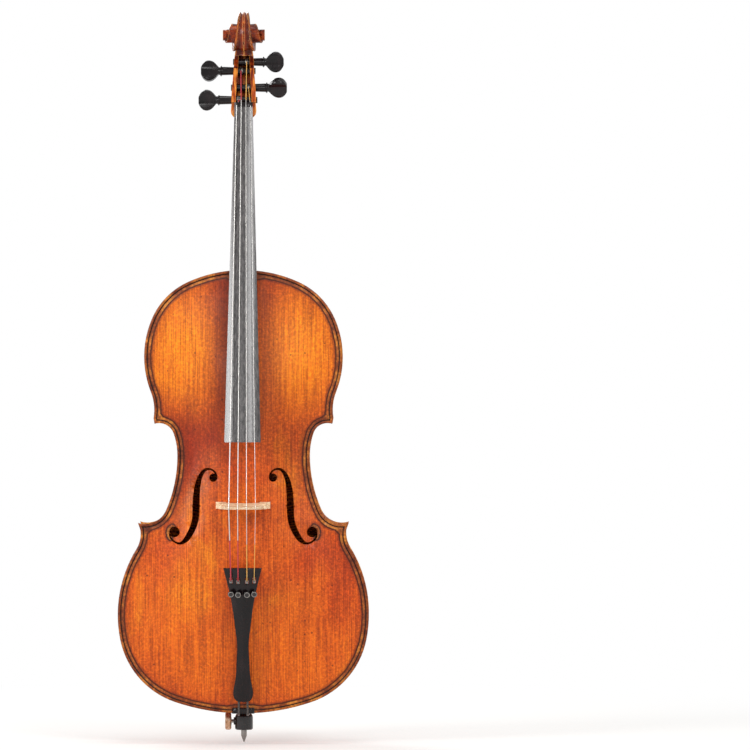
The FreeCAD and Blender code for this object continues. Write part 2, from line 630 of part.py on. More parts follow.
def make_head():
    """Pegbox and scroll carved in one piece."""
    spine = []
    for z, front, back, half_front, half_back in PEGBOX:
        flute = 0.3 if z < 1070.0 else FLUTE_DEPTH
        spine.append(head_section((front, z), (back, z), half_front, half_back, flute))
    front, back, half = THROAT
    spine.append(head_section(front, back, half, half - 0.8, FLUTE_DEPTH))
    spine += volute(-120.0, 180.0)
    head = Part.makeLoft(spine, True)
    head = head.fuse(Part.makeLoft(volute(180.0, 510.0), True))
    head = head.fuse(Part.makeLoft(volute(510.0, 720.0), True))
    half = SCROLL_HALF_WIDTHS[-1]
    head = head.fuse(Part.makeCylinder(EYE_RADIUS, 2 * half, V(-half, EYE_Y, EYE_Z), V(1, 0, 0)))
    cavity = []
    for z, half, floor in CAVITY:
        cavity.append(Part.makePolygon([V(-half, -80, z), V(half, -80, z), V(half - 1.0, floor, z),
                                        V(1.0 - half, floor, z), V(-half, -80, z)]))
    head = head.cut(Part.makeLoft(cavity, True))
    seat = box(-60, 60, -100, 0, 1040, NUT_Z + NUT_LENGTH).cut(behind_glue_plane(60))
    head = head.cut(seat)
    for name, side, z, start, turn in PEGS:
        head = head.cut(peg_cone(side, z, start, PEG_CLEARANCE))
    return head


# ---------------------------------------------------------------- pegs
def peg_y(z):
    return PEG_AXIS_Y + PEG_AXIS_SLOPE * (z - PEGS[0][2])


def cheek(z):
    """Outer half width of the pegbox at a height."""
    for low, high in zip(PEGBOX, PEGBOX[1:]):
        if low[0] <= z <= high[0]:
            return low[3] + (high[3] - low[3]) * (z - low[0]) / (high[0] - low[0])
    return PEGBOX[-1][3] - 0.7


def peg_radius(x, z):
    return PEG_SMALL_RADIUS + PEG_TAPER * (x + cheek(z) + 2.0)


def peg_cone(side, z, start, extra):
    low, high = -cheek(z) - 2.0, start - 4.0
    cone = Part.makeCone(peg_radius(low, z) + extra, peg_radius(high, z) + extra, high - low,
                         V(low, peg_y(z), z), V(1, 0, 0))
    return cone if side > 0 else mirrored(cone)


def make_peg(side, z, start, turn):
    """A tapered shaft, a turned collar and a rounded thumb piece, hollowed on both faces."""
    y = peg_y(z)
    shaft = peg_cone(1, z, start, 0.0)
    collar = Part.makeCylinder(9.2, 2.6, V(start - 4.6, y, z), V(1, 0, 0))
    collar = collar.makeFillet(1.2, [e for e in collar.Edges if e.BoundBox.XLength < 0.01])
    neck = Part.makeCone(7.4, 6.0, 5.0, V(start - 2.5, y, z), V(1, 0, 0))
    half = PEG_HEAD_HEIGHT / 2
    length = PEG_HEAD_LENGTH
    rim = [(0.0, 5.0), (0.10, 8.5), (0.28, 14.5), (0.50, half), (0.72, half - 0.9), (0.90, half - 6.0), (1.0, 5.0)]
    upper = [V(start + share * length, y, z + height) for share, height in rim]
    lower = [V(start + share * length, y, z - height) for share, height in rim]
    edges = []
    for side_points in (upper, lower):
        curve = Part.BSplineCurve()
        curve.interpolate(side_points)
        edges.append(curve.toShape())
    edges.append(Part.LineSegment(upper[0], lower[0]).toShape())
    edges.append(Part.LineSegment(upper[-1], lower[-1]).toShape())
    thumb = Part.Face(Part.Wire(Part.__sortEdges__(edges))).extrude(V(0, PEG_HEAD_THICKNESS, 0))
    thumb.translate(V(0, -PEG_HEAD_THICKNESS / 2, 0))
    thumb = thumb.makeChamfer(2.0, [e for e in thumb.Edges if e.BoundBox.YLength < 0.01 and e.BoundBox.XLength > 20])
    for face_side in (-1, 1):
        middle = V(start + 0.5 * length - 20.0, y + face_side * 32.5, z)
        thumb = thumb.cut(Part.makeCylinder(28.0, 40.0, middle, V(1, 0, 0)))
    peg = shaft.fuse(collar).fuse(neck).fuse(thumb)
    peg.rotate(V(0, y, z), V(1, 0, 0), turn)
    return peg if side > 0 else mirrored(peg)


def make_coil(name, side, z):
    """Turns of the string wound on a peg."""
    radius = max(0.55, STRING_RADIUS[name])
    x0 = COIL_X[name] * side
    points = []
    for i in range(5):
        x = x0 + 2.0 * radius * (i - 2)
        points.append((x - radius, peg_radius(x, z) + 0.9))
        points.append((x, peg_radius(x, z) + 0.9 + radius))
    last = points[-2][0] + 2 * radius
    profile = [V(points[0][0], peg_y(z) + peg_radius(points[0][0], z), z)]
    profile += [V(x, peg_y(z) + r, z) for x, r in points]
    profile += [V(last, peg_y(z) + points[-2][1], z), V(last, peg_y(z) + peg_radius(last, z), z)]
    face = Part.Face(Part.makePolygon(profile + [profile[0]]))
    coil = face.revolve(V(0, peg_y(z), z), V(1, 0, 0), 360)
    return coil if side > 0 else mirrored(coil)


# ---------------------------------------------------------------- bridge and saddle
def belly_crown(z):
    return FRONT_FACE - EDGE_THICKNESS + CHANNEL_DEPTH - arch_height(0.0, z, FRONT_ARCH)


def bridge_top(x):
    return BRIDGE_HEIGHT - (BRIDGE_CROWN_RADIUS - math.sqrt(BRIDGE_CROWN_RADIUS ** 2 - x ** 2))


def make_bridge(strings):
    """Maple bridge: two legs, kidney cuts, a heart, and a wedge that thins towards the strings."""
    crown = belly_crown(BRIDGE_Z)
    half = [V(x, crown - h, 0) for x, h in BRIDGE_OUTER]
    half_inner = [V(x, crown - h, 0) for x, h in reversed(BRIDGE_INNER)]
    edges = []
    for x_side in (1, -1):
        for points in (half[:2], half[1:6], half[5:10], half[9:]):
            curve = Part.BSplineCurve()
            curve.interpolate([V(p.x * x_side, p.y, 0) for p in points])
            edges.append(curve.toShape())
        curve = Part.BSplineCurve()
        curve.interpolate([V(p.x * x_side, p.y, 0) for p in half_inner])
        edges.append(curve.toShape())
        edges.append(Part.LineSegment(V(half[0].x * x_side, half[0].y, 0),
                                      V(half_inner[-1].x * x_side, half_inner[-1].y, 0)).toShape())
    end = half[-1]
    edges.append(Part.Arc(end, V(0, crown - BRIDGE_HEIGHT, 0), V(-end.x, end.y, 0)).toShape())
    blank = Part.Face(Part.Wire(Part.__sortEdges__(edges))).extrude(V(0, 0, BRIDGE_FOOT))
    heart_y = crown - 61.0
    heart = Part.makeCylinder(4.6, 30, V(4.0, heart_y, -5)).fuse(Part.makeCylinder(4.6, 30, V(-4.0, heart_y, -5)))
    point = Part.Face(Part.makePolygon([V(-8.2, heart_y + 2.0, -5), V(8.2, heart_y + 2.0, -5),
                                        V(0, heart_y + 15.0, -5), V(-8.2, heart_y + 2.0, -5)]))
    blank = blank.cut(heart.fuse(point.extrude(V(0, 0, 30))))
    wedge = Part.Face(Part.makePolygon([V(-60, crown - 20, BRIDGE_FOOT), V(-60, crown - 110, BRIDGE_TOP - 1.2),
                                        V(-60, crown - 110, 30), V(-60, crown - 20, 30),
                                        V(-60, crown - 20, BRIDGE_FOOT)]))
    blank = blank.cut(wedge.extrude(V(120, 0, 0)))
    blank.translate(V(0, 0, BRIDGE_Z - BRIDGE_TOP / 2))
    blank = blank.cut(under_arch(-1, FRONT_ARCH, EDGE_THICKNESS - CHANNEL_DEPTH, 0.0))
    return blank.cut(strings)


def make_saddle():
    """Ebony block with low wings, let into the lower edge of the belly."""
    back, front = FRONT_FACE, FRONT_FACE - SADDLE_HEIGHT
    low, high = BODY_BOTTOM - 0.4, BODY_BOTTOM + 9.5
    half = SADDLE_WIDTH / 2
    points = [V(-half, back, low), V(-half, front + 4.0, low), V(-half + 7.0, front, low), V(half - 7.0, front, low),
              V(half, front + 4.0, low), V(half, back, low)]
    block = Part.Face(Part.makePolygon(points + [points[0]])).extrude(V(0, 0, high - low))
    edge = [e for e in block.Edges if abs(e.BoundBox.YMin - front) < 0.01 and e.BoundBox.XLength > 20]
    return block.makeFillet(SADDLE_ROUND, edge)


# ---------------------------------------------------------------- tailpiece and its cord
def on_tail(shape):
    """Carry a shape from the tailpiece's own frame (W up its length, crown at Y = 0) into place."""
    placed = shape.copy()
    placed.rotate(V(0, 0, 0), V(1, 0, 0), TAIL_LEAN)
    placed.translate(V(0, TAIL_Y, TAIL_Z))
    return placed


def tail_surface(x, width):
    """Depth of the ridged front below its crown."""
    share = abs(x) / (width / 2)
    return 6.0 * (0.85 * share + 0.15 * share * share) * min(1.0, width / 44.0) + 0.2 * (share > 0)


def tail_width(w):
    for low, high in zip(TAIL_WIDTHS, TAIL_WIDTHS[1:]):
        if low[0] <= w <= high[0]:
            return low[1] + (high[1] - low[1]) * (w - low[0]) / (high[0] - low[0])
    return TAIL_WIDTHS[-1][1]


def tail_section(w, width, wall):
    half = width / 2 - wall
    drop = wall if wall else 0.0
    bottom = TAIL_THICKNESS + (8.0 if wall else 0.0)
    side = tail_surface(half, width) + drop
    points = [V(0, drop, w), V(half * 0.5, tail_surface(half * 0.5, width) + drop, w), V(half, side, w),
              V(half, max(bottom, side + 1.0), w), V(-half, max(bottom, side + 1.0), w), V(-half, side, w),
              V(-half * 0.5, tail_surface(half * 0.5, width) + drop, w)]
    return Part.makePolygon(points + [points[0]])


def make_tailpiece():
    """Ebony tailpiece with a central ridge, hollowed below the tuners, slotted for the four levers."""
    body = Part.makeLoft([tail_section(w, width, 0.0) for w, width in TAIL_WIDTHS], True)
    room = [tail_section(w, tail_width(w), TAIL_WALL) for w in HOLLOW_STATIONS]
    body = body.cut(Part.makeLoft(room, True, True))
    end = TAIL_LENGTH
    body = body.cut(box(-40, 40, 2.5, 20, end - 7.2, end + 1).cut(box(-40, 40, 2.5, 20, end - 7.2, end - 2.0)))
    for name, x in TUNER_X.items():
        surface = tail_surface(x, tail_width(TUNER_PIVOT_W))
        for ear in (-5.4, 3.0):
            body = body.fuse(box(x + ear, x + ear + 2.4, surface + 2.0, PIVOT_Y + 3.0,
                                 TUNER_PIVOT_W - 3.6, TUNER_PIVOT_W + 3.6))
    for name, x in TUNER_X.items():
        body = body.cut(box(x - 2.9, x + 2.9, -5, TAIL_THICKNESS + 9, TUNER_FORK_W - BALL_ROOM, TUNER_FORK_W + 4.5))
        body = body.cut(box(x - ARM_HALF - 0.5, x + ARM_HALF + 0.5, PIVOT_Y - ARM_FRONT - ARM_GAP, TAIL_THICKNESS + 9,
                            TUNER_SCREW_W - ARM_PAST_SCREW - 1.0, TUNER_PIVOT_W + ARM_PAST_PIVOT + ARM_GAP))
        body = body.cut(box(x - 1.1, x + 1.1, -5, 5.8, TUNER_FORK_W, end + 2))
        body = body.cut(Part.makeCylinder(SCREW_RADIUS + RUNNING_FIT, 30, V(x, -10, TUNER_SCREW_W), V(0, 1, 0)))
        body = body.cut(Part.makeCylinder(1.3 + RUNNING_FIT, 10.8, V(x - 5.4, PIVOT_Y, TUNER_PIVOT_W), V(1, 0, 0)))
    for x in (-CORD_SPREAD, CORD_SPREAD):
        body = body.cut(Part.makeCylinder(CORD_RADIUS + CORD_CLEARANCE, 20, V(x, 5.2, -5), V(0, 0, 1)))
    return on_tail(body)


def make_tuner(x):
    """Screw, knurled knob and lever of one fine tuner."""
    surface = tail_surface(x, tail_width(TUNER_SCREW_W))
    top = surface - 9.5
    head = top + KNOB_CAP + RUNNING_FIT
    screw = Part.makeCylinder(SCREW_RADIUS, PIVOT_Y - ARM_FRONT - ARM_GAP - head, V(x, head, TUNER_SCREW_W), V(0, 1, 0))
    knob = Part.makeCylinder(KNOB_RADIUS, 5.5, V(x, top - 0.4, TUNER_SCREW_W), V(0, 1, 0))
    knob = knob.makeChamfer(0.6, [e for e in knob.Edges if e.BoundBox.YLength < 0.01])
    for i in range(18):
        angle = math.radians(20.0 * i)
        groove = Part.makeCylinder(0.5, 8, V(x + (KNOB_RADIUS + 0.2) * math.cos(angle), top - 1.0,
                                             TUNER_SCREW_W + (KNOB_RADIUS + 0.2) * math.sin(angle)), V(0, 1, 0))
        knob = knob.cut(groove)
    knob = knob.cut(screw_core(x, top, RUNNING_FIT))
    arm = box(x - ARM_HALF, x + ARM_HALF, PIVOT_Y - ARM_FRONT, PIVOT_Y + 1.2, TUNER_SCREW_W - ARM_PAST_SCREW,
              TUNER_PIVOT_W + ARM_PAST_PIVOT)
    fork_top = string_tail_y(x) - 1.6
    fork = box(x - 2.6, x + 2.6, fork_top, PIVOT_Y, TUNER_FORK_W - 1.4, TUNER_FORK_W + 1.4)
    fork = fork.cut(box(x - 1.35, x + 1.35, fork_top - 1, fork_top + 5.2, TUNER_FORK_W - 2, TUNER_FORK_W + 2))
    pin = Part.makeCylinder(1.3, 10.6, V(x - 5.3, PIVOT_Y, TUNER_PIVOT_W), V(1, 0, 0))
    ball = Part.makeCylinder(2.0, 4.4, V(x - 2.2, string_tail_y(x) + 0.8, TUNER_FORK_W - 3.2), V(1, 0, 0))
    lever = arm.fuse(fork).fuse(pin).fuse(ball)
    return on_tail(screw), on_tail(knob), on_tail(lever)


def screw_core(x, top, extra):
    return Part.makeCylinder(SCREW_RADIUS + extra, 5.6, V(x, top + KNOB_CAP, TUNER_SCREW_W), V(0, 1, 0))


def string_tail_y(x):
    """Depth of a string's end in the tailpiece's frame."""
    return tail_surface(x, tail_width(TUNER_FORK_W)) - 2.6


def rounded_path(corners):
    """Straight runs joined by arcs, through corners given as (point, bend radius)."""
    edges = []
    start = corners[0][0]
    for (before, _), (corner, bend), (after, _) in zip(corners, corners[1:], corners[2:]):
        arrive = (before - corner).normalize()
        leave = (after - corner).normalize()
        half = arrive.getAngle(leave) / 2
        first = corner + arrive * (bend / math.tan(half))
        last = corner + leave * (bend / math.tan(half))
        middle = corner + (arrive + leave).normalize() * (bend / math.sin(half) - bend)
        if start.distanceToPoint(first) > 0.001:
            edges.append(Part.makeLine(start, first))
        edges.append(Part.Arc(first, middle, last).toShape())
        start = last
    edges.append(Part.makeLine(start, corners[-1][0]))
    return Part.Wire(edges)


def make_tail_cord():
    """One cord: out of the tailpiece, over the saddle, round the endpin and back."""
    inside, outside = [on_tail(Part.Vertex(V(CORD_SPREAD, 5.2, w))).Point for w in (14.8, -2.0)]
    saddle_y = FRONT_FACE - SADDLE_HEIGHT - CORD_RADIUS - 0.05
    low = BODY_BOTTOM - CORD_RADIUS - 0.5
    reach = FERRULE_RADIUS + CORD_RADIUS + 0.05
    right = [(inside, 0.0), (outside, 10.0), (V(CORD_SPREAD, saddle_y, BODY_BOTTOM + 8.0), 10.0),
             (V(CORD_SPREAD, saddle_y, low), SADDLE_ROUND + CORD_RADIUS + 0.1), (V(9.0, -19.0, low), 8.0),
             (V(reach, -6.0, CORD_LOOP_Z), 8.0), (V(reach, reach, CORD_LOOP_Z), reach)]
    left = [(V(-p.x, p.y, p.z), bend) for p, bend in reversed(right)]
    path = rounded_path(right + left)
    section = Part.Wire([Part.Circle(inside, path.Edges[0].tangentAt(0), CORD_RADIUS).toShape()])
    return path.makePipeShell([section], True, False)


# ---------------------------------------------------------------- strings
def string_points(name):
    """Peg, nut, bridge and tailpiece ends of a string's middle line."""
    radius = STRING_RADIUS[name]
    peg = [p for p in PEGS if p[0] == name][0]
    wound = peg_radius(COIL_X[name] * peg[1], peg[2]) + 0.9 + max(0.55, radius) + radius + 0.3
    peg_end = V(COIL_X[name], peg_y(peg[2]) - wound, peg[2])
    x = NUT_X[name]
    nut_drop = 3.0 * (x / (NUT_WIDTH / 2)) ** 2
    nut = V(x, board_crown(NUT_Z) - NUT_RISE + nut_drop - radius * 0.5, NUT_Z + 2.0)
    bridge = V(BRIDGE_X[name], belly_crown(BRIDGE_Z) - bridge_top(BRIDGE_X[name]) - radius * 0.4, BRIDGE_Z)
    x = TUNER_X[name]
    tail = on_tail(Part.Vertex(V(x, string_tail_y(x), TUNER_FORK_W - 0.3))).Point
    return peg_end, nut, bridge, tail


def rod_between(a, b, radius):
    return Part.makeCylinder(radius, (b - a).Length, a, b - a)


def point_at(a, b, z):
    return a + (b - a) * ((z - a.z) / (b.z - a.z))


def make_string(name):
    """The wound part, over nut and bridge, and its silk at the peg end and at the tailpiece end."""
    radius = STRING_RADIUS[name]
    peg_end, nut, bridge, tail = string_points(name)
    silk_start = nut + (peg_end - nut) * (11.0 / (peg_end - nut).Length)
    tail_start = point_at(bridge, tail, SILK_FROM[name])
    metal = rod_between(silk_start, nut, radius).fuse(Part.makeSphere(radius, nut))
    metal = metal.fuse(rod_between(nut, bridge, radius)).fuse(Part.makeSphere(radius, bridge))
    metal = metal.fuse(rod_between(bridge, tail_start, radius))
    silk_radius = radius + SILK_EXTRA
    return metal, rod_between(silk_start, peg_end, silk_radius), rod_between(tail_start, tail, silk_radius)


# ---------------------------------------------------------------- endpin
def revolved(profile):
    """Turn a closed (radius, z) profile about the endpin's axis."""
    face = Part.Face(Part.makePolygon([V(r, 0, z) for r, z in profile] + [V(profile[0][0], 0, profile[0][1])]))
    return face.revolve(V(0, 0, 0), V(0, 0, 1), 360)


def plug_space():
    """The tapered hole through lower rib and end block, filled by the plug."""
    low = BODY_BOTTOM + OVERHANG
    top = low + RIB_THICKNESS + END_BLOCK_DEPTH + 2.0
    return revolved([(0, low), (PLUG_RADIUS, low), (PLUG_TIP_RADIUS, top), (0, top)])


def make_endpin():
    """Plug in the end block, housing with its boss, sliding rod and thumb screw."""
    bore = ROD_RADIUS + RUNNING_FIT
    low = BODY_BOTTOM + OVERHANG
    top = low + RIB_THICKNESS + END_BLOCK_DEPTH + 2.0
    plug = revolved([(bore, HOUSING_HIGH), (FERRULE_RADIUS, HOUSING_HIGH), (FERRULE_RADIUS, low), (PLUG_RADIUS, low),
                     (PLUG_TIP_RADIUS, top), (bore, top)])
    r = HOUSING_RADIUS
    housing = revolved([(bore, HOUSING_LOW), (r - 2.0, HOUSING_LOW), (r, HOUSING_LOW + 2.0), (r, HOUSING_HIGH - 7.0),
                        (r - 1.6, HOUSING_HIGH - 3.4), (r - 5.2, HOUSING_HIGH), (bore, HOUSING_HIGH)])
    boss = Part.makeCylinder(6.5, 6.0, V(-r - 2.2, 0, THUMB_Z), V(1, 0, 0))
    boss = boss.cut(Part.makeCylinder(bore + 1.0, 40, V(0, 0, 10)))
    housing = housing.fuse(boss)
    housing = housing.cut(Part.makeCylinder(3.0 + RUNNING_FIT, 20.0, V(-r - 4.0, 0, THUMB_Z), V(1, 0, 0)))
    neck = ROD_RADIUS - GROOVE_DEPTH
    rod = revolved([(0, 0), (1.0, 0.4), (ROD_RADIUS, ROD_POINT), (ROD_RADIUS, ROD_GROOVE_Z), (neck, ROD_GROOVE_Z),
                    (neck, ROD_GROOVE_Z + 1.0), (ROD_RADIUS, ROD_GROOVE_Z + 1.0), (ROD_RADIUS, ROD_LENGTH - 1),
                    (ROD_RADIUS - 1, ROD_LENGTH), (0, ROD_LENGTH)])
    stem_tip = -ROD_RADIUS - 0.35
    stem = Part.makeCylinder(3.0, 23.0 + stem_tip + 4.0, V(-27.0, 0, THUMB_Z), V(1, 0, 0))
    hub = Part.makeCone(6.6, 4.4, 5.0, V(-18.4 - 3.0, 0, THUMB_Z), V(-1, 0, 0))
    outline = Part.Face(Part.Wire([Part.Ellipse(V(0, 0, 0), 15.0, 8.0).toShape()]))
    wing = outline.extrude(V(0, 0, 10.5))
    wing.rotate(V(0, 0, 0), V(0, 1, 0), -90)
    wing.translate(V(-21.8, 0, THUMB_Z))
    wing = wing.makeChamfer(2.0, [e for e in wing.Edges if e.BoundBox.XLength < 0.01])
    wing = hub.fuse(wing).cut(Part.makeCylinder(3.0 + RUNNING_FIT, 12.0, V(-27.3, 0, THUMB_Z), V(1, 0, 0)))
    return plug, housing, rod, stem, wing


# ---------------------------------------------------------------- assembly
def compound(shapes):
    return Part.makeCompound(shapes)


def build():
    head = make_head()
    neck = make_neck()
    plug, housing, rod, stem, wing = make_endpin()
    nodes = {"head": head, "neck": neck.cut(head), "fingerboard": make_fingerboard(), "nut": make_nut()}
    strings = {}
    for name in "cgda":
        metal, peg_silk, tail_silk = make_string(name)
        strings[name] = (metal, peg_silk, tail_silk)
        nodes["string_" + name] = metal
    nodes["silk_peg_c_g"] = compound([strings["c"][1], strings["g"][1]])
    nodes["silk_peg_d_a"] = compound([strings["d"][1], strings["a"][1]])
    nodes["silk_tail_c_g"] = compound([strings["c"][2], strings["g"][2]])
    nodes["silk_tail_d_a"] = compound([strings["d"][2], strings["a"][2]])
    all_strings = compound([strings[name][0] for name in "cgda"])
    nodes["nut"] = nodes["nut"].cut(all_strings).cut(head)
    nodes["bridge"] = make_bridge(all_strings)
    top, inlay_front = make_top_plate(neck)
    back, inlay_back = make_back_plate()
    nodes.update({"top_plate": top, "purfling_front": inlay_front, "back_plate": back, "purfling_back": inlay_back})
    for part_name, rib in make_ribs(neck, plug_space()).items():
        nodes["rib_" + part_name + "_treble"] = rib
        nodes["rib_" + part_name + "_bass"] = mirrored(rib)
    linings = [make_linings(-1, neck), make_linings(1, neck)]
    nodes["linings_front"], nodes["linings_back"] = linings
    blocks = make_blocks(neck, plug_space(), linings)
    corners = [blocks[name] for name in sorted(blocks) if name.startswith("corner")]
    nodes["neck_block"], nodes["end_block"] = blocks["neck_block"], blocks["end_block"]
    nodes["corner_blocks"] = compound(corners)
    nodes["bass_bar"] = make_bass_bar()
    nodes["sound_post"] = make_sound_post()
    nodes["saddle"] = make_saddle()
    nodes["tailpiece"] = make_tailpiece()
    nodes["tail_cord"] = make_tail_cord()
    for name, x in TUNER_X.items():
        screw, knob, lever = make_tuner(x)
        nodes["tuner_screw_" + name] = screw
        nodes["tuner_knob_" + name] = knob
        nodes["tuner_lever_" + name] = lever
    for name, side, z, start, turn in PEGS:
        nodes["peg_" + name] = make_peg(side, z, start, turn)
        nodes["coil_" + name] = make_coil(name, side, z)
    nodes.update({"endpin_plug": plug, "endpin_housing": housing, "endpin_rod": rod})
    nodes.update({"endpin_thumb_stem": stem, "endpin_thumb_wing": wing})
    return nodes


def main():
    os.makedirs(OUT, exist_ok=True)
    for name, shape in sorted(build().items()):
        shape.exportStep(os.path.join(OUT, name + ".step"))


if __name__ == "__main__":
    main()
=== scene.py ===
import math

import bpy
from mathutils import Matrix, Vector
from mathutils.bvhtree import BVHTree


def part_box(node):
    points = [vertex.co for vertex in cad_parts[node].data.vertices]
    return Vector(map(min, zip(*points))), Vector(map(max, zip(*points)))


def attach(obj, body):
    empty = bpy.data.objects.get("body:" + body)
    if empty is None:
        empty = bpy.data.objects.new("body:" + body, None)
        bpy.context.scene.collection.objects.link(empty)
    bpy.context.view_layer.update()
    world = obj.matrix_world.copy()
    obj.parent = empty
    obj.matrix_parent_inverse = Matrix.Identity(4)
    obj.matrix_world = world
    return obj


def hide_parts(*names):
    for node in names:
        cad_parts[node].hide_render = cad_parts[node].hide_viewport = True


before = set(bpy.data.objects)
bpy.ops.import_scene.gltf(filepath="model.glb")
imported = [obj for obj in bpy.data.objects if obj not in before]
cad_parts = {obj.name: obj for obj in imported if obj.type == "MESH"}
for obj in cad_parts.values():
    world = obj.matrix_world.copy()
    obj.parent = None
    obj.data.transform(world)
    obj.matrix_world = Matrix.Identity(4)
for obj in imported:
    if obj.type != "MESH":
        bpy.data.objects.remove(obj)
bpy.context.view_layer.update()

# ---------------------------------------- the room: a white sweep, plain soft light, a long lens
# The cello hangs upright a little left of the middle, its endpin on the floor, seen square on from the belly side.
# The sweep is white to the eye and in reflections, and pale grey as a floor that keeps the shadow.


def colour(hex_value):
    """An sRGB hex value as linear RGBA."""
    parts = [int(hex_value[i:i + 2], 16) / 255 for i in (1, 3, 5)]
    return [c / 12.92 if c <= 0.04045 else ((c + 0.055) / 1.055) ** 2.4 for c in parts] + [1.0]


def add(material, kind, inputs=None, stops=None, **settings):
    """Adds one node with its settings, its input values or links, and the colour stops of a ramp."""
    made = material.node_tree.nodes.new(kind)
    for name, value in settings.items():
        setattr(made, name, value)
    for place, shade in enumerate(stops or []):
        ramp = made.color_ramp.elements
        point = ramp[place] if place < len(ramp) else ramp.new(shade[0])
        point.position, point.color = shade[0], colour(shade[1])
    for name, value in (inputs or {}).items():
        if isinstance(value, bpy.types.NodeSocket):
            material.node_tree.links.new(value, made.inputs[name])
        else:
            made.inputs[name].default_value = value
    return made


def new_material(name):
    """An empty node material and the two nodes every finish starts from."""
    material = bpy.data.materials.new(name)
    material.use_nodes = True
    material.node_tree.nodes.clear()
    place = add(material, "ShaderNodeTexCoord").outputs["Object"]
    return material, place


# twelve metres off with a long lens, so that the outline is nearly without perspective
camera_data = bpy.data.cameras.new("camera")
camera_data.lens = 336.0
camera_data.clip_end = 60.0
camera = bpy.data.objects.new("camera", camera_data)
camera.location = (0.2257, -12.06, 0.632)
camera.rotation_euler = (math.radians(90), 0, 0)
bpy.context.scene.collection.objects.link(camera)
bpy.context.scene.camera = camera
bpy.context.scene.view_settings.view_transform = "Standard"

for name, place, aim, power, width in (
        ("key_light", (-2.9, -2.9, 1.7), (0, 0, 0.6), 62.0, 1.5),
        ("fill_light", (1.7, -3.6, 2.3), (0, 0, 0.6), 46.0, 1.6),
        ("top_light", (0.2, -0.6, 3.6), (0, 0, 0.7), 16.0, 1.2),
        ("back_light", (-1.4, 3.6, 2.4), (0, 0, 0.7), 62.0, 1.8),
        ("front_glint", (-0.9, -6.5, 2.1), (0, 0, 0.8), 26.0, 1.3)):
    lamp = bpy.data.lights.new(name, "AREA")
    lamp.energy, lamp.size, lamp.shape = power, width, "DISK"
    light = bpy.data.objects.new(name, lamp)
    light.location = place
    light.rotation_euler = (Vector(aim) - Vector(place)).to_track_quat("-Z", "Y").to_euler()
    bpy.context.scene.collection.objects.link(light)

world = bpy.data.worlds.new("room")
world.use_nodes = True
bpy.context.scene.world = world
world.node_tree.nodes["Background"].inputs["Color"].default_value = (1, 1, 1, 1)
rays = add(world, "ShaderNodeLightPath")
seen = add(world, "ShaderNodeMath", {
    0: rays.outputs["Is Camera Ray"], 1: rays.outputs["Is Transmission Ray"]}, operation="MAXIMUM")
in_gloss = add(world, "ShaderNodeMath", {0: rays.outputs["Is Glossy Ray"], 1: 0.35}, operation="MULTIPLY")
mirrored = add(world, "ShaderNodeMath", {0: seen.outputs[0], 1: in_gloss.outputs[0]}, operation="MAXIMUM")
level = add(world, "ShaderNodeMapRange", {"Value": mirrored.outputs[0], "To Min": 0.55, "To Max": 1.0})
world.node_tree.links.new(level.outputs["Result"], world.node_tree.nodes["Background"].inputs["Strength"])

bpy.ops.object.select_all(action="DESELECT")
bpy.ops.mesh.primitive_plane_add(size=12.0, location=(0, 0, -0.001))
floor = bpy.context.active_object
floor.name = "floor"
floor_paper, place = new_material("matt white paper")
rays = add(floor_paper, "ShaderNodeLightPath")
seen = add(floor_paper, "ShaderNodeMath", {
    0: rays.outputs["Is Camera Ray"], 1: rays.outputs["Is Transmission Ray"]}, operation="MAXIMUM")
mirrored = add(floor_paper, "ShaderNodeMath", {
    0: seen.outputs[0], 1: rays.outputs["Is Glossy Ray"]}, operation="MAXIMUM")
paper = add(floor_paper, "ShaderNodeBsdfDiffuse", {"Color": colour("#E9E8E6")})
glow = add(floor_paper, "ShaderNodeEmission", {"Color": (1, 1, 1, 1), "Strength": 0.22})
lit = add(floor_paper, "ShaderNodeAddShader", {0: paper.outputs[0], 1: glow.outputs[0]})
away = add(floor_paper, "ShaderNodeVectorMath", {0: place}, operation="LENGTH")
far_share = add(floor_paper, "ShaderNodeMapRange", {
    "Value": away.outputs["Value"], "From Min": 0.7, "From Max": 2.2}, interpolation_type="SMOOTHSTEP")
white = add(floor_paper, "ShaderNodeEmission", {"Color": (1, 1, 1, 1), "Strength": 1.0})
sweep = add(floor_paper, "ShaderNodeMixShader", {0: far_share.outputs[0], 1: lit.outputs[0], 2: white.outputs[0]})
chosen = add(floor_paper, "ShaderNodeMixShader", {0: mirrored.outputs[0], 1: paper.outputs[0], 2: sweep.outputs[0]})
add(floor_paper, "ShaderNodeOutputMaterial", {"Surface": chosen.outputs[0]})
floor.data.materials.append(floor_paper)


# ---------------------------------------- belly
# The front is spruce split down the middle: straight close grain that runs the whole length, under orange-brown oil
# varnish worn golden in the bouts, darker along the board and the edges, with small knocks and scratches.
def dressed(node, body, material, angle=35.0):
    """A merged, smoothly shaded copy of a CAD piece with its finish; it stands for that piece."""
    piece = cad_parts[node].copy()
    piece.data = piece.data.copy()
    piece.name = node + "_finished"
    piece.parent = None
    for key in list(piece.keys()):
        del piece[key]
    bpy.context.scene.collection.objects.link(piece)
    bpy.ops.object.select_all(action="DESELECT")
    piece.select_set(True)
    bpy.context.view_layer.objects.active = piece
    bpy.ops.object.mode_set(mode="EDIT")
    bpy.ops.mesh.select_all(action="SELECT")
    bpy.ops.mesh.remove_doubles(threshold=0.000003)
    bpy.ops.object.mode_set(mode="OBJECT")
    bpy.ops.object.shade_smooth_by_angle(angle=math.radians(angle))
    bpy.ops.object.modifier_add(type="WEIGHTED_NORMAL")
    piece.modifiers[-1].keep_sharp = True
    bpy.ops.object.modifier_apply(modifier=piece.modifiers[-1].name)
    piece.data.materials.clear()
    piece.data.materials.append(material)
    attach(piece, body)
    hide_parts(node)
    return piece


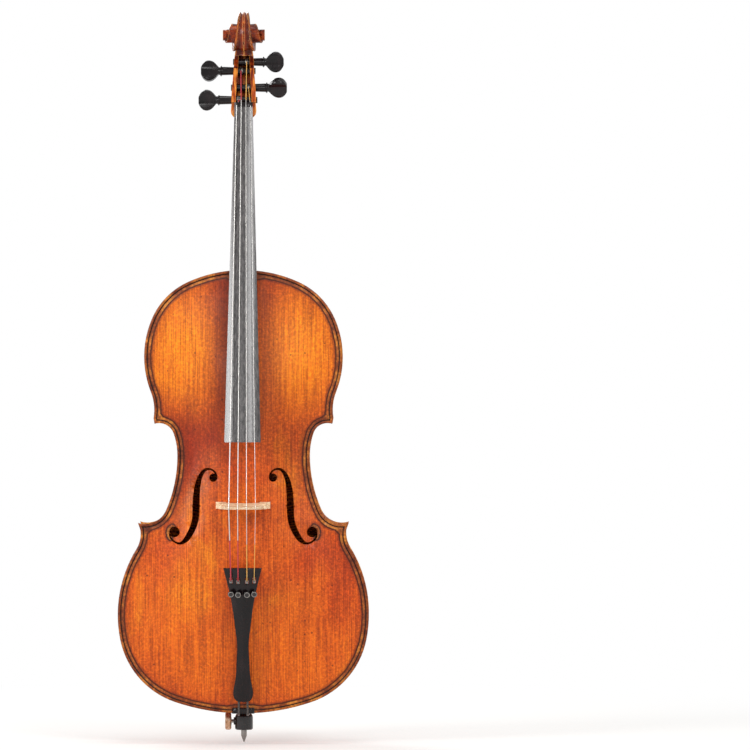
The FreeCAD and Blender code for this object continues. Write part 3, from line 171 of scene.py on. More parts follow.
def measured(plate):
    """Store at each point of a plate how far it lies from the outer edge, as the attribute "inset"."""
    corners = [vertex.co for vertex in plate.data.vertices]
    # the edge stands between the ribs' end and the plate's outer face, 59.1 to 63.6 mm from the middle of the ribs
    rib_end, outer_face = 0.0591, 0.0636
    wall = [tuple(face.vertices) for face in plate.data.polygons
            if abs(face.normal.y) < 0.3 and rib_end < abs(face.center.y) < outer_face]
    tree = BVHTree.FromPolygons(corners, wall)
    inset_of = plate.data.attributes.new("inset", "FLOAT", "POINT")
    for index, corner in enumerate(corners):
        inset_of.data[index].value = tree.find_nearest(corner)[3]


# the purfling lies between 4.4 and 6 mm in from the edge
purfling_out, purfling_mid = 0.0046, 0.0052
spruce, place = new_material("varnished spruce")
inset = add(spruce, "ShaderNodeAttribute", attribute_name="inset")
near_x = add(spruce, "ShaderNodeSeparateXYZ", {"Vector": place})
side = add(spruce, "ShaderNodeMath", {0: near_x.outputs["X"]}, operation="ABSOLUTE")
# winter lines of the grain: 1.3 mm apart beside the joint, drawn at 2.4 mm so that they show
grain_place = add(spruce, "ShaderNodeMapping", {"Vector": place, "Scale": (470.0, 1.0, 9.0)})
grain = add(spruce, "ShaderNodeTexNoise", {
    "Vector": grain_place.outputs[0], "Scale": 1.0, "Detail": 3.0, "Roughness": 0.55, "Distortion": 0.15})
streak_place = add(spruce, "ShaderNodeMapping", {"Vector": place, "Scale": (80.0, 1.0, 7.0)})
streak = add(spruce, "ShaderNodeTexNoise", {
    "Vector": streak_place.outputs[0], "Scale": 1.0, "Detail": 4.0, "Roughness": 0.6})
cloud_place = add(spruce, "ShaderNodeMapping", {"Vector": place, "Scale": (9.0, 1.0, 5.5)})
cloud = add(spruce, "ShaderNodeTexNoise", {
    "Vector": cloud_place.outputs[0], "Scale": 1.0, "Detail": 5.0, "Roughness": 0.55, "Distortion": 0.4})
cloud_tone = add(spruce, "ShaderNodeValToRGB", {"Fac": cloud.outputs["Fac"]},
    stops=[(0.30, "#A43208"), (0.42, "#C84B0E"), (0.56, "#E06412"), (0.68, "#F28414")])
# worn golden fields in the upper bouts, where the varnish is thin
upper_place = add(spruce, "ShaderNodeCombineXYZ", {"X": side.outputs[0], "Y": 0.0, "Z": near_x.outputs["Z"]})
upper_far = add(spruce, "ShaderNodeVectorMath", {
    0: upper_place.outputs[0], 1: (0.105, 0.0, 0.675)}, operation="SUBTRACT")
upper_size = add(spruce, "ShaderNodeVectorMath", {
    0: upper_far.outputs[0], 1: (12.5, 1.0, 8.0)}, operation="MULTIPLY")
upper_length = add(spruce, "ShaderNodeVectorMath", {0: upper_size.outputs[0]}, operation="LENGTH")
upper_ragged = add(spruce, "ShaderNodeMath", {
    0: cloud.outputs["Fac"], 1: 0.9, 2: upper_length.outputs["Value"]}, operation="MULTIPLY_ADD")
upper_worn = add(spruce, "ShaderNodeMapRange", {
    "Value": upper_ragged.outputs[0], "From Min": 0.50, "From Max": 1.75, "To Min": 1.0, "To Max": 0.0},
    interpolation_type="SMOOTHSTEP")
lower_far = add(spruce, "ShaderNodeVectorMath", {
    0: upper_place.outputs[0], 1: (0.085, 0.0, 0.155)}, operation="SUBTRACT")
lower_size = add(spruce, "ShaderNodeVectorMath", {
    0: lower_far.outputs[0], 1: (10.5, 1.0, 9.5)}, operation="MULTIPLY")
lower_length = add(spruce, "ShaderNodeVectorMath", {0: lower_size.outputs[0]}, operation="LENGTH")
lower_ragged = add(spruce, "ShaderNodeMath", {
    0: streak.outputs["Fac"], 1: 0.9, 2: lower_length.outputs["Value"]}, operation="MULTIPLY_ADD")
lower_worn = add(spruce, "ShaderNodeMapRange", {
    "Value": lower_ragged.outputs[0], "From Min": 0.5, "From Max": 1.9, "To Min": 0.7, "To Max": 0.0},
    interpolation_type="SMOOTHSTEP")
# rosin and dirt kept under the strings: a red-brown band beside the board that fades below the bridge
band = add(spruce, "ShaderNodeMath", {
    0: streak.outputs["Fac"], 1: 0.055, 2: side.outputs[0]}, operation="MULTIPLY_ADD")
band_share = add(spruce, "ShaderNodeMapRange", {
    "Value": band.outputs[0], "From Min": 0.055, "From Max": 0.105, "To Min": 1.0, "To Max": 0.0},
    interpolation_type="SMOOTHSTEP")
band_top = add(spruce, "ShaderNodeMapRange", {
    "Value": near_x.outputs["Z"], "From Min": 0.40, "From Max": 0.62, "To Min": 0.0, "To Max": 0.8},
    interpolation_type="SMOOTHSTEP")
band_both = add(spruce, "ShaderNodeMath", {0: band_share.outputs[0], 1: band_top.outputs[0]}, operation="MULTIPLY")
# stronger on the bass side, where the bow hand and the low strings stay
bass_side = add(spruce, "ShaderNodeMapRange", {
    "Value": near_x.outputs["X"], "From Min": -0.02, "From Max": 0.02, "To Min": 1.0, "To Max": 0.5})
band_weight = add(spruce, "ShaderNodeMath", {
    0: band_both.outputs[0], 1: bass_side.outputs[0]}, operation="MULTIPLY")
# the waist is a shade redder and darker
waist_far = add(spruce, "ShaderNodeMath", {0: near_x.outputs["Z"], 1: 0.50}, operation="SUBTRACT")
waist_abs = add(spruce, "ShaderNodeMath", {0: waist_far.outputs[0]}, operation="ABSOLUTE")
waist_share = add(spruce, "ShaderNodeMapRange", {
    "Value": waist_abs.outputs[0], "From Min": 0.02, "From Max": 0.14, "To Min": 0.85, "To Max": 0.0},
    interpolation_type="SMOOTHSTEP")
waist_edge = add(spruce, "ShaderNodeMapRange", {
    "Value": side.outputs[0], "From Min": 0.03, "From Max": 0.09, "To Min": 0.0, "To Max": 1.0})
waist_both = add(spruce, "ShaderNodeMath", {
    0: waist_share.outputs[0], 1: waist_edge.outputs[0]}, operation="MULTIPLY")
waist_weight = add(spruce, "ShaderNodeMath", {
    0: waist_both.outputs[0], 1: bass_side.outputs[0]}, operation="MULTIPLY")
grain_share = add(spruce, "ShaderNodeMapRange", {
    "Value": grain.outputs["Fac"], "From Min": 0.42, "From Max": 0.62, "To Min": 0.0, "To Max": 0.5})
streak_share = add(spruce, "ShaderNodeMapRange", {
    "Value": streak.outputs["Fac"], "From Min": 0.52, "From Max": 0.80, "To Min": 0.0, "To Max": 0.55})
# knocks: dark specks 1 to 3 mm across, few and irregular
speck = add(spruce, "ShaderNodeTexVoronoi", {"Vector": place, "Scale": 85.0, "Randomness": 1.0})
speck_keep = add(spruce, "ShaderNodeSeparateColor", {"Color": speck.outputs["Color"]})
speck_size = add(spruce, "ShaderNodeMapRange", {
    "Value": speck_keep.outputs["Red"], "From Min": 0.70, "From Max": 1.0, "To Min": 0.0, "To Max": 0.16})
speck_in = add(spruce, "ShaderNodeMath", {
    0: speck.outputs["Distance"], 1: speck_size.outputs[0]}, operation="LESS_THAN")
speck_soft = add(spruce, "ShaderNodeMath", {0: speck_in.outputs[0], 1: 0.7}, operation="MULTIPLY")
# redder towards the edge, dirt and painted shade in the channel inside the purfling, a dark margin with the rim
# rubbed light in places, and painted shade over the rounded outer rim
patch = add(spruce, "ShaderNodeTexNoise", {"Vector": place, "Scale": 42.0, "Detail": 4.0, "Roughness": 0.7})
near_edge = add(spruce, "ShaderNodeMapRange", {
    "Value": inset.outputs["Fac"], "From Min": 0.006, "From Max": 0.034, "To Min": 0.30, "To Max": 0.0},
    interpolation_type="SMOOTHSTEP")
edge_share = add(spruce, "ShaderNodeMath", {
    0: near_edge.outputs[0], 1: streak.outputs["Fac"]}, operation="MULTIPLY")
# the channel's hollow is darkened both for dirt and as painted shade
channel = add(spruce, "ShaderNodeMapRange", {
    "Value": inset.outputs["Fac"], "From Min": 0.0062, "From Max": 0.0105, "To Min": 1.5, "To Max": 0.0})
channel_dirt_and_shade = add(spruce, "ShaderNodeMath", {
    0: channel.outputs[0], 1: patch.outputs["Fac"]}, operation="MULTIPLY", use_clamp=True)
margin = add(spruce, "ShaderNodeMath", {0: inset.outputs["Fac"], 1: purfling_out}, operation="LESS_THAN")
margin_tone = add(spruce, "ShaderNodeValToRGB", {"Fac": patch.outputs["Fac"]},
    stops=[(0.36, "#64260A"), (0.50, "#944718"), (0.66, "#CC7C2C")])
glue_far = add(spruce, "ShaderNodeMath", {0: inset.outputs["Fac"], 1: purfling_mid}, operation="SUBTRACT")
glue_near = add(spruce, "ShaderNodeMath", {0: glue_far.outputs[0]}, operation="ABSOLUTE")
glue_line = add(spruce, "ShaderNodeMapRange", {
    "Value": glue_near.outputs[0], "From Min": 0.0010, "From Max": 0.0016, "To Min": 0.7, "To Max": 0.0})
# painted shade: the outermost 2 mm of the rounded rim is darkened
rim_shade = add(spruce, "ShaderNodeMapRange", {
    "Value": inset.outputs["Fac"], "From Min": 0.0008, "From Max": 0.0018, "To Min": 0.35, "To Max": 0.0})
# the tones above, laid one over another
tone = cloud_tone.outputs["Color"]
for share, over in (
        (upper_worn, colour("#FB8811")), (lower_worn, colour("#EC7011")), (band_weight, colour("#74210A")),
        (waist_weight, colour("#86210A")), (grain_share, colour("#701F04")), (streak_share, colour("#6E2006")),
        (speck_soft, colour("#3A1409")), (edge_share, colour("#8E2C08")), (channel_dirt_and_shade, colour("#6A2207")),
        (margin, margin_tone.outputs["Color"]), (glue_line, colour("#1E0803")), (rim_shade, colour("#3A1105"))):
    tone = add(spruce, "ShaderNodeMix", {0: share.outputs[0], 6: tone, 7: over}, data_type="RGBA").outputs[2]
# crackle of the old varnish, 3 to 5 mm, lighter and darker
crackle = add(spruce, "ShaderNodeTexNoise", {"Vector": place, "Scale": 240.0, "Detail": 3.0, "Roughness": 0.7})
crackle_tone = add(spruce, "ShaderNodeValToRGB", {"Fac": crackle.outputs["Fac"]},
    stops=[(0.34, "#8E8E8E"), (0.50, "#BCBCBC"), (0.66, "#F2F2F2")])
with_crackle = add(spruce, "ShaderNodeMix", {
    0: 0.65, 6: tone, 7: crackle_tone.outputs["Color"]}, data_type="RGBA", blend_type="OVERLAY")
sheen_noise = add(spruce, "ShaderNodeTexNoise", {"Vector": place, "Scale": 30.0, "Detail": 4.0})
belly_rough = add(spruce, "ShaderNodeMapRange", {
    "Value": sheen_noise.outputs["Fac"], "From Min": 0.3, "From Max": 0.7, "To Min": 0.30, "To Max": 0.46})
relief = add(spruce, "ShaderNodeBump", {"Height": grain.outputs["Fac"], "Strength": 0.35, "Distance": 0.0002})
shader = add(spruce, "ShaderNodeBsdfPrincipled", {
    "Base Color": with_crackle.outputs[2], "Roughness": belly_rough.outputs[0], "IOR": 1.5,
    "Specular IOR Level": 0.22, "Coat Weight": 0.08, "Coat Roughness": 0.2, "Normal": relief.outputs["Normal"]})
add(spruce, "ShaderNodeOutputMaterial", {"Surface": shader.outputs["BSDF"]})
measured(dressed("top_plate", "sound_box", spruce, 30.0))

# ---------------------------------------- back
# Two carved halves of flamed maple glued down the middle: flames 5 to 6 mm apart fall towards the joint. The same
# varnish as the belly, worn golden in the middle where it meets the player, stained near the top.
flamed, place = new_material("varnished flamed maple")
inset = add(flamed, "ShaderNodeAttribute", attribute_name="inset")
axes = add(flamed, "ShaderNodeSeparateXYZ", {"Vector": place})
side = add(flamed, "ShaderNodeMath", {0: axes.outputs["X"]}, operation="ABSOLUTE")
sway_place = add(flamed, "ShaderNodeMapping", {"Vector": place, "Scale": (7.0, 7.0, 22.0)})
sway = add(flamed, "ShaderNodeTexNoise", {"Vector": sway_place.outputs[0], "Scale": 1.0, "Detail": 3.0})
fall = add(flamed, "ShaderNodeMath", {0: side.outputs[0], 1: -0.12, 2: axes.outputs["Z"]}, operation="MULTIPLY_ADD")
swayed = add(flamed, "ShaderNodeMath", {
    0: sway.outputs["Fac"], 1: 0.035, 2: fall.outputs[0]}, operation="MULTIPLY_ADD")
# flames 5.6 mm apart
phase = add(flamed, "ShaderNodeMath", {0: swayed.outputs[0], 1: 2 * math.pi / 0.0056}, operation="MULTIPLY")
flame = add(flamed, "ShaderNodeMath", {0: phase.outputs[0]}, operation="SINE")
broken_place = add(flamed, "ShaderNodeMapping", {"Vector": place, "Scale": (34.0, 34.0, 90.0)})
broken = add(flamed, "ShaderNodeTexNoise", {"Vector": broken_place.outputs[0], "Scale": 1.0, "Detail": 3.0})
broken_share = add(flamed, "ShaderNodeMapRange", {
    "Value": broken.outputs["Fac"], "From Min": 0.35, "From Max": 0.65, "To Min": 0.25, "To Max": 1.0})
flame_strength = add(flamed, "ShaderNodeMath", {
    0: flame.outputs[0], 1: broken_share.outputs[0]}, operation="MULTIPLY")
flame_share = add(flamed, "ShaderNodeMapRange", {
    "Value": flame_strength.outputs[0], "From Min": -0.25, "From Max": 0.75, "To Min": 0.0, "To Max": 0.9})
cloud_place = add(flamed, "ShaderNodeMapping", {"Vector": place, "Scale": (8.0, 8.0, 5.0)})
cloud = add(flamed, "ShaderNodeTexNoise", {
    "Vector": cloud_place.outputs[0], "Scale": 1.0, "Detail": 5.0, "Roughness": 0.55, "Distortion": 0.5})
cloud_tone = add(flamed, "ShaderNodeValToRGB", {"Fac": cloud.outputs["Fac"]},
    stops=[(0.30, "#C04A0B"), (0.46, "#DA6212"), (0.60, "#EA7A18"), (0.74, "#F6921E")])
# the varnish is thicker and redder towards the lower end
low_down = add(flamed, "ShaderNodeMath", {
    0: cloud.outputs["Fac"], 1: 0.34, 2: axes.outputs["Z"]}, operation="MULTIPLY_ADD")
low_share = add(flamed, "ShaderNodeMapRange", {
    "Value": low_down.outputs[0], "From Min": 0.40, "From Max": 0.66, "To Min": 0.72, "To Max": 0.0},
    interpolation_type="SMOOTHSTEP")
worn_far = add(flamed, "ShaderNodeVectorMath", {0: place, 1: (0.0, 0.087, 0.357)}, operation="SUBTRACT")
worn_size = add(flamed, "ShaderNodeVectorMath", {
    0: worn_far.outputs[0], 1: (17.0, 6.0, 13.0)}, operation="MULTIPLY")
worn_length = add(flamed, "ShaderNodeVectorMath", {0: worn_size.outputs[0]}, operation="LENGTH")
worn_ragged = add(flamed, "ShaderNodeMath", {
    0: broken.outputs["Fac"], 1: 1.1, 2: worn_length.outputs["Value"]}, operation="MULTIPLY_ADD")
worn = add(flamed, "ShaderNodeMapRange", {
    "Value": worn_ragged.outputs[0], "From Min": 0.65, "From Max": 1.7, "To Min": 0.7, "To Max": 0.0},
    interpolation_type="SMOOTHSTEP")
# the bright side of each flame
crest = add(flamed, "ShaderNodeMapRange", {
    "Value": flame_strength.outputs[0], "From Min": -0.85, "From Max": -0.1, "To Min": 0.6, "To Max": 0.0})
# the stain of an old repair near the top of the back
stain_far = add(flamed, "ShaderNodeVectorMath", {0: place, 1: (-0.06, 0.08, 0.715)}, operation="SUBTRACT")
stain_size = add(flamed, "ShaderNodeVectorMath", {
    0: stain_far.outputs[0], 1: (12.0, 5.0, 17.0)}, operation="MULTIPLY")
stain_length = add(flamed, "ShaderNodeVectorMath", {0: stain_size.outputs[0]}, operation="LENGTH")
stain = add(flamed, "ShaderNodeMapRange", {
    "Value": stain_length.outputs["Value"], "From Min": 0.4, "From Max": 1.25, "To Min": 0.6, "To Max": 0.0},
    interpolation_type="SMOOTHSTEP")
# the joint down the middle of the back, 0.4 mm of dark glue line drawn at 1.2 mm
joint = add(flamed, "ShaderNodeMath", {0: side.outputs[0], 1: 0.0006}, operation="LESS_THAN")
joint_soft = add(flamed, "ShaderNodeMath", {0: joint.outputs[0], 1: 0.6}, operation="MULTIPLY")
# dirt and painted shade in the channel, and the margin outside the purfling rubbed to golden wood
patch = add(flamed, "ShaderNodeTexNoise", {"Vector": place, "Scale": 42.0, "Detail": 4.0, "Roughness": 0.7})
channel = add(flamed, "ShaderNodeMapRange", {
    "Value": inset.outputs["Fac"], "From Min": 0.0062, "From Max": 0.0115, "To Min": 1.5, "To Max": 0.0})
channel_dirt_and_shade = add(flamed, "ShaderNodeMath", {
    0: channel.outputs[0], 1: patch.outputs["Fac"]}, operation="MULTIPLY", use_clamp=True)
body_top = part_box("top_plate")[1][2]
button_free = add(flamed, "ShaderNodeMapRange", {
    "Value": axes.outputs["Z"], "From Min": body_top - 0.004, "From Max": body_top, "To Min": 0.0, "To Max": 1.0})
margin_inset = add(flamed, "ShaderNodeMath", {0: inset.outputs["Fac"], 1: button_free.outputs[0]}, operation="ADD")
margin = add(flamed, "ShaderNodeMath", {0: margin_inset.outputs[0], 1: purfling_out}, operation="LESS_THAN")
margin_tone = add(flamed, "ShaderNodeValToRGB", {"Fac": patch.outputs["Fac"]},
    stops=[(0.34, "#8E3C10"), (0.48, "#CC7C28"), (0.62, "#EFAE4C")])
# the two glue lines beside the purfling are darkened, so that its line reads darker and wider
glue_far = add(flamed, "ShaderNodeMath", {0: inset.outputs["Fac"], 1: purfling_mid}, operation="SUBTRACT")
glue_near = add(flamed, "ShaderNodeMath", {0: glue_far.outputs[0]}, operation="ABSOLUTE")
glue_line = add(flamed, "ShaderNodeMapRange", {
    "Value": glue_near.outputs[0], "From Min": 0.0010, "From Max": 0.0017, "To Min": 0.75, "To Max": 0.0})
# the tones above, laid one over another
tone = cloud_tone.outputs["Color"]
for share, over in (
        (low_share, colour("#A22E06")), (worn, colour("#F09A1A")), (flame_share, colour("#741E05")),
        (crest, colour("#F58A1C")), (stain, colour("#6B420F")), (joint_soft, colour("#5A2010")),
        (channel_dirt_and_shade, colour("#571A05")), (margin, margin_tone.outputs["Color"]), (glue_line, colour("#1E0803"))):
    tone = add(flamed, "ShaderNodeMix", {0: share.outputs[0], 6: tone, 7: over}, data_type="RGBA").outputs[2]
crackle = add(flamed, "ShaderNodeTexNoise", {"Vector": place, "Scale": 220.0, "Detail": 3.0, "Roughness": 0.7})
crackle_tone = add(flamed, "ShaderNodeValToRGB", {"Fac": crackle.outputs["Fac"]},
    stops=[(0.34, "#8E8E8E"), (0.50, "#BCBCBC"), (0.66, "#F2F2F2")])
with_crackle = add(flamed, "ShaderNodeMix", {
    0: 0.6, 6: tone, 7: crackle_tone.outputs["Color"]}, data_type="RGBA", blend_type="OVERLAY")
sheen_noise = add(flamed, "ShaderNodeTexNoise", {"Vector": place, "Scale": 26.0, "Detail": 4.0})
back_rough = add(flamed, "ShaderNodeMapRange", {
    "Value": sheen_noise.outputs["Fac"], "From Min": 0.3, "From Max": 0.7, "To Min": 0.28, "To Max": 0.44})
relief = add(flamed, "ShaderNodeBump", {"Height": flame_strength.outputs[0], "Strength": 0.08, "Distance": 0.0002})
shader = add(flamed, "ShaderNodeBsdfPrincipled", {
    "Base Color": with_crackle.outputs[2], "Roughness": back_rough.outputs[0], "IOR": 1.5,
    "Specular IOR Level": 0.22, "Coat Weight": 0.08, "Coat Roughness": 0.2, "Normal": relief.outputs["Normal"]})
add(flamed, "ShaderNodeOutputMaterial", {"Surface": shader.outputs["BSDF"]})
measured(dressed("back_plate", "sound_box", flamed, 30.0))

# ---------------------------------------- ribs
# Six thin strips of flamed maple, bent hot over an iron and glued to the blocks. Their flames cross them from the
# belly to the back, 6 mm apart along the bend. Each strip has a UV map of its length round the bend and its height.
bent, place = new_material("bent flamed maple")
round_bend = add(bent, "ShaderNodeUVMap", uv_map="bend")
along = add(bent, "ShaderNodeSeparateXYZ", {"Vector": round_bend.outputs["UV"]})
sway_place = add(bent, "ShaderNodeMapping", {"Vector": round_bend.outputs["UV"], "Scale": (24.0, 9.0, 1.0)})
sway = add(bent, "ShaderNodeTexNoise", {"Vector": sway_place.outputs[0], "Scale": 1.0, "Detail": 3.0})
swayed = add(bent, "ShaderNodeMath", {
    0: sway.outputs["Fac"], 1: 0.02, 2: along.outputs["X"]}, operation="MULTIPLY_ADD")
# flames 6 mm apart
phase = add(bent, "ShaderNodeMath", {0: swayed.outputs[0], 1: 2 * math.pi / 0.006}, operation="MULTIPLY")
flame = add(bent, "ShaderNodeMath", {0: phase.outputs[0]}, operation="SINE")
flame_share = add(bent, "ShaderNodeMapRange", {
    "Value": flame.outputs[0], "From Min": -1.0, "From Max": 1.0, "To Min": 0.0, "To Max": 0.5})
cloud = add(bent, "ShaderNodeTexNoise", {"Vector": place, "Scale": 9.0, "Detail": 5.0, "Distortion": 0.4})
cloud_tone = add(bent, "ShaderNodeValToRGB", {"Fac": cloud.outputs["Fac"]},
    stops=[(0.30, "#A63A0A"), (0.50, "#C6500F"), (0.68, "#DE6C12")])
with_flame = add(bent, "ShaderNodeMix", {
    0: flame_share.outputs[0], 6: cloud_tone.outputs["Color"], 7: colour("#762206")}, data_type="RGBA")
rib_rough = add(bent, "ShaderNodeMapRange", {"Value": cloud.outputs["Fac"], "To Min": 0.26, "To Max": 0.44})
shader = add(bent, "ShaderNodeBsdfPrincipled", {
    "Base Color": with_flame.outputs[2], "Roughness": rib_rough.outputs[0], "IOR": 1.5, "Specular IOR Level": 0.25,
    "Coat Weight": 0.1, "Coat Roughness": 0.2})
add(bent, "ShaderNodeOutputMaterial", {"Surface": shader.outputs["BSDF"]})
# each bend: middle of its curve beside the instrument's axis (x, z) and its mean radius, in metres
for bout, middle_x, middle_z, radius in (("upper", 0.05, 0.68, 0.14), ("waist", 0.24, 0.50, 0.12),
                                         ("lower", 0.06, 0.26, 0.17)):
    for side_name, sign in (("bass", -1), ("treble", 1)):
        rib = dressed("rib_" + bout + "_" + side_name, "sound_box", bent, 30.0)
        bend = rib.data.uv_layers.new(name="bend")
        for loop in rib.data.loops:
            spot = rib.data.vertices[loop.vertex_index].co
            turn = math.atan2(sign * spot.x - middle_x, (spot.z - middle_z) * (-1 if bout == "waist" else 1))
            bend.data[loop.index].uv = (turn * radius, spot.y)

# ---------------------------------------- purfling
# Three thin strips, black, white and black, let into a groove 4.4 mm in from each plate's edge. They stand flush and
# read as one dark line from a few steps away.
purfling_wood, place = new_material("dyed pearwood strip")
strip_noise = add(purfling_wood, "ShaderNodeTexNoise", {"Vector": place, "Scale": 220.0, "Detail": 2.0})
strip_tone = add(purfling_wood, "ShaderNodeValToRGB", {"Fac": strip_noise.outputs["Fac"]},
    stops=[(0.35, "#0C0503"), (0.70, "#241008")])
shader = add(purfling_wood, "ShaderNodeBsdfPrincipled", {
    "Base Color": strip_tone.outputs["Color"], "Roughness": 0.45, "Specular IOR Level": 0.15})
add(purfling_wood, "ShaderNodeOutputMaterial", {"Surface": shader.outputs["BSDF"]})
for node in ("purfling_front", "purfling_back"):
    dressed(node, "sound_box", purfling_wood, 30.0)

# ---------------------------------------- inside of the sound box
# Blocks, linings, bass bar and sound post are plain spruce and willow, planed and left bare. Only slivers of them
# show through the f-holes, pale and dusty.
inner_wood, place = new_material("bare spruce")
fibre_place = add(inner_wood, "ShaderNodeMapping", {"Vector": place, "Scale": (420.0, 420.0, 9.0)})
fibre = add(inner_wood, "ShaderNodeTexNoise", {"Vector": fibre_place.outputs[0], "Scale": 1.0, "Detail": 3.0})
fibre_tone = add(inner_wood, "ShaderNodeValToRGB", {"Fac": fibre.outputs["Fac"]},
    stops=[(0.32, "#9A7449"), (0.55, "#C6A06A"), (0.75, "#D9B783")])
relief = add(inner_wood, "ShaderNodeBump", {"Height": fibre.outputs["Fac"], "Strength": 0.4, "Distance": 0.0002})
shader = add(inner_wood, "ShaderNodeBsdfPrincipled", {
    "Base Color": fibre_tone.outputs["Color"], "Roughness": 0.75, "Normal": relief.outputs["Normal"]})
add(inner_wood, "ShaderNodeOutputMaterial", {"Surface": shader.outputs["BSDF"]})
for node in ("linings_front", "linings_back", "neck_block", "end_block", "corner_blocks", "bass_bar", "sound_post"):
    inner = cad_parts[node]
    inner.data.materials.clear()
    inner.data.materials.append(inner_wood)

# ---------------------------------------- neck
# One piece of maple, shaved round and rubbed with oil where the hand slides, so it stays pale; the varnish begins
# again at the heel and under the head, with a soft brown edge.
neck_wood, place = new_material("oiled maple")
axes = add(neck_wood, "ShaderNodeSeparateXYZ", {"Vector": place})
sway_place = add(neck_wood, "ShaderNodeMapping", {"Vector": place, "Scale": (30.0, 30.0, 22.0)})
sway = add(neck_wood, "ShaderNodeTexNoise", {"Vector": sway_place.outputs[0], "Scale": 1.0, "Detail": 3.0})
swayed = add(neck_wood, "ShaderNodeMath", {
    0: sway.outputs["Fac"], 1: 0.03, 2: axes.outputs["Z"]}, operation="MULTIPLY_ADD")
# flames 7 mm apart
phase = add(neck_wood, "ShaderNodeMath", {0: swayed.outputs[0], 1: 2 * math.pi / 0.007}, operation="MULTIPLY")
flame = add(neck_wood, "ShaderNodeMath", {0: phase.outputs[0]}, operation="SINE")
flame_share = add(neck_wood, "ShaderNodeMapRange", {
    "Value": flame.outputs[0], "From Min": -1.0, "From Max": 1.0, "To Min": 0.0, "To Max": 0.4})
fibre_place = add(neck_wood, "ShaderNodeMapping", {"Vector": place, "Scale": (380.0, 380.0, 12.0)})
fibre = add(neck_wood, "ShaderNodeTexNoise", {"Vector": fibre_place.outputs[0], "Scale": 1.0, "Detail": 3.0})
fibre_tone = add(neck_wood, "ShaderNodeValToRGB", {"Fac": fibre.outputs["Fac"]},
    stops=[(0.35, "#EDBB84"), (0.65, "#FBD3A2")])
low_end = add(neck_wood, "ShaderNodeMapRange", {
    "Value": axes.outputs["Z"], "From Min": 0.815, "From Max": 0.868, "To Min": 1.0, "To Max": 0.0},
    interpolation_type="SMOOTHSTEP")
high_end = add(neck_wood, "ShaderNodeMapRange", {
    "Value": swayed.outputs[0], "From Min": 1.075, "From Max": 1.112, "To Min": 0.0, "To Max": 1.0},
    interpolation_type="SMOOTHSTEP")
# the tones above, laid one over another
tone = fibre_tone.outputs["Color"]
for share, over in ((flame_share, "#D99C62"), (low_end, "#98653A"), (high_end, "#96512C")):
    tone = add(neck_wood, "ShaderNodeMix", {
        0: share.outputs[0], 6: tone, 7: colour(over)}, data_type="RGBA").outputs[2]
relief = add(neck_wood, "ShaderNodeBump", {"Height": fibre.outputs["Fac"], "Strength": 0.15, "Distance": 0.0001})
shader = add(neck_wood, "ShaderNodeBsdfPrincipled", {
    "Base Color": tone, "Roughness": 0.45, "Specular IOR Level": 0.15, "Normal": relief.outputs["Normal"]})
add(neck_wood, "ShaderNodeOutputMaterial", {"Surface": shader.outputs["BSDF"]})
dressed("neck", "sound_box", neck_wood, 35.0)

# ---------------------------------------- head with pegbox and scroll
# Carved maple with the oldest, darkest varnish, drawn nearly black with painted shade in the flutes and the eye, and
# rubbed back to light brown on the ridges of the volute, with painted highlights there, and on the edges of the
# cheeks.
carved, place = new_material("carved varnished maple")
cloud = add(carved, "ShaderNodeTexNoise", {"Vector": place, "Scale": 60.0, "Detail": 5.0, "Roughness": 0.65})
cloud_tone = add(carved, "ShaderNodeValToRGB", {"Fac": cloud.outputs["Fac"]},
    stops=[(0.32, "#260501"), (0.45, "#551505"), (0.56, "#8A300A"), (0.68, "#BE5A16")])
# the flutes of the back, the crown and the throat: "across" runs from 0 on the middle ridge to 1 at the edges
across = add(carved, "ShaderNodeAttribute", attribute_name="across")
# painted highlights with wear on the middle ridge and the edges of each flute, painted shade in its hollow between
flute_light_and_shade = add(carved, "ShaderNodeValToRGB", {"Fac": across.outputs["Fac"]},
    stops=[(0.0, "#FFCB86"), (0.05, "#E08A34"), (0.13, "#8A2E0A"), (0.40, "#3E0B02"), (0.80, "#5E1A06"),
           (0.91, "#C56A20"), (0.98, "#FFC274")])
fluted = add(carved, "ShaderNodeMath", {0: across.outputs["Fac"], 1: -0.5}, operation="GREATER_THAN")
flute_share = add(carved, "ShaderNodeMath", {0: fluted.outputs[0], 1: 0.75}, operation="MULTIPLY")
# the cheeks' front edges, marked -2, are rubbed orange in long streaks
streak_place = add(carved, "ShaderNodeMapping", {"Vector": place, "Scale": (260.0, 60.0, 30.0)})
streak = add(carved, "ShaderNodeTexNoise", {"Vector": streak_place.outputs[0], "Scale": 1.0, "Detail": 2.0})
cheek_edge = add(carved, "ShaderNodeMath", {0: across.outputs["Fac"], 1: -1.6}, operation="LESS_THAN")
cheek_tone = add(carved, "ShaderNodeValToRGB", {"Fac": streak.outputs["Fac"]},
    stops=[(0.38, "#6A1C06"), (0.50, "#AE4A10"), (0.64, "#E89238")])
form = add(carved, "ShaderNodeNewGeometry")
# the knife-cut ridges, where the surface curves outwards, are lightened for worn varnish and as a painted highlight
ridge = add(carved, "ShaderNodeMapRange", {
    "Value": form.outputs["Pointiness"], "From Min": 0.515, "From Max": 0.565, "To Min": 0.0, "To Max": 0.9})
# painted shade: the hollows of the carving, where the surface curves inwards, are darkened nearly to black
hollow_shade = add(carved, "ShaderNodeMapRange", {
    "Value": form.outputs["Pointiness"], "From Min": 0.42, "From Max": 0.488, "To Min": 0.95, "To Max": 0.0})
hollow_painted_shade = add(carved, "ShaderNodeMath", {
    0: hollow_shade.outputs[0], 1: fluted.outputs[0]}, operation="SUBTRACT", use_clamp=True)
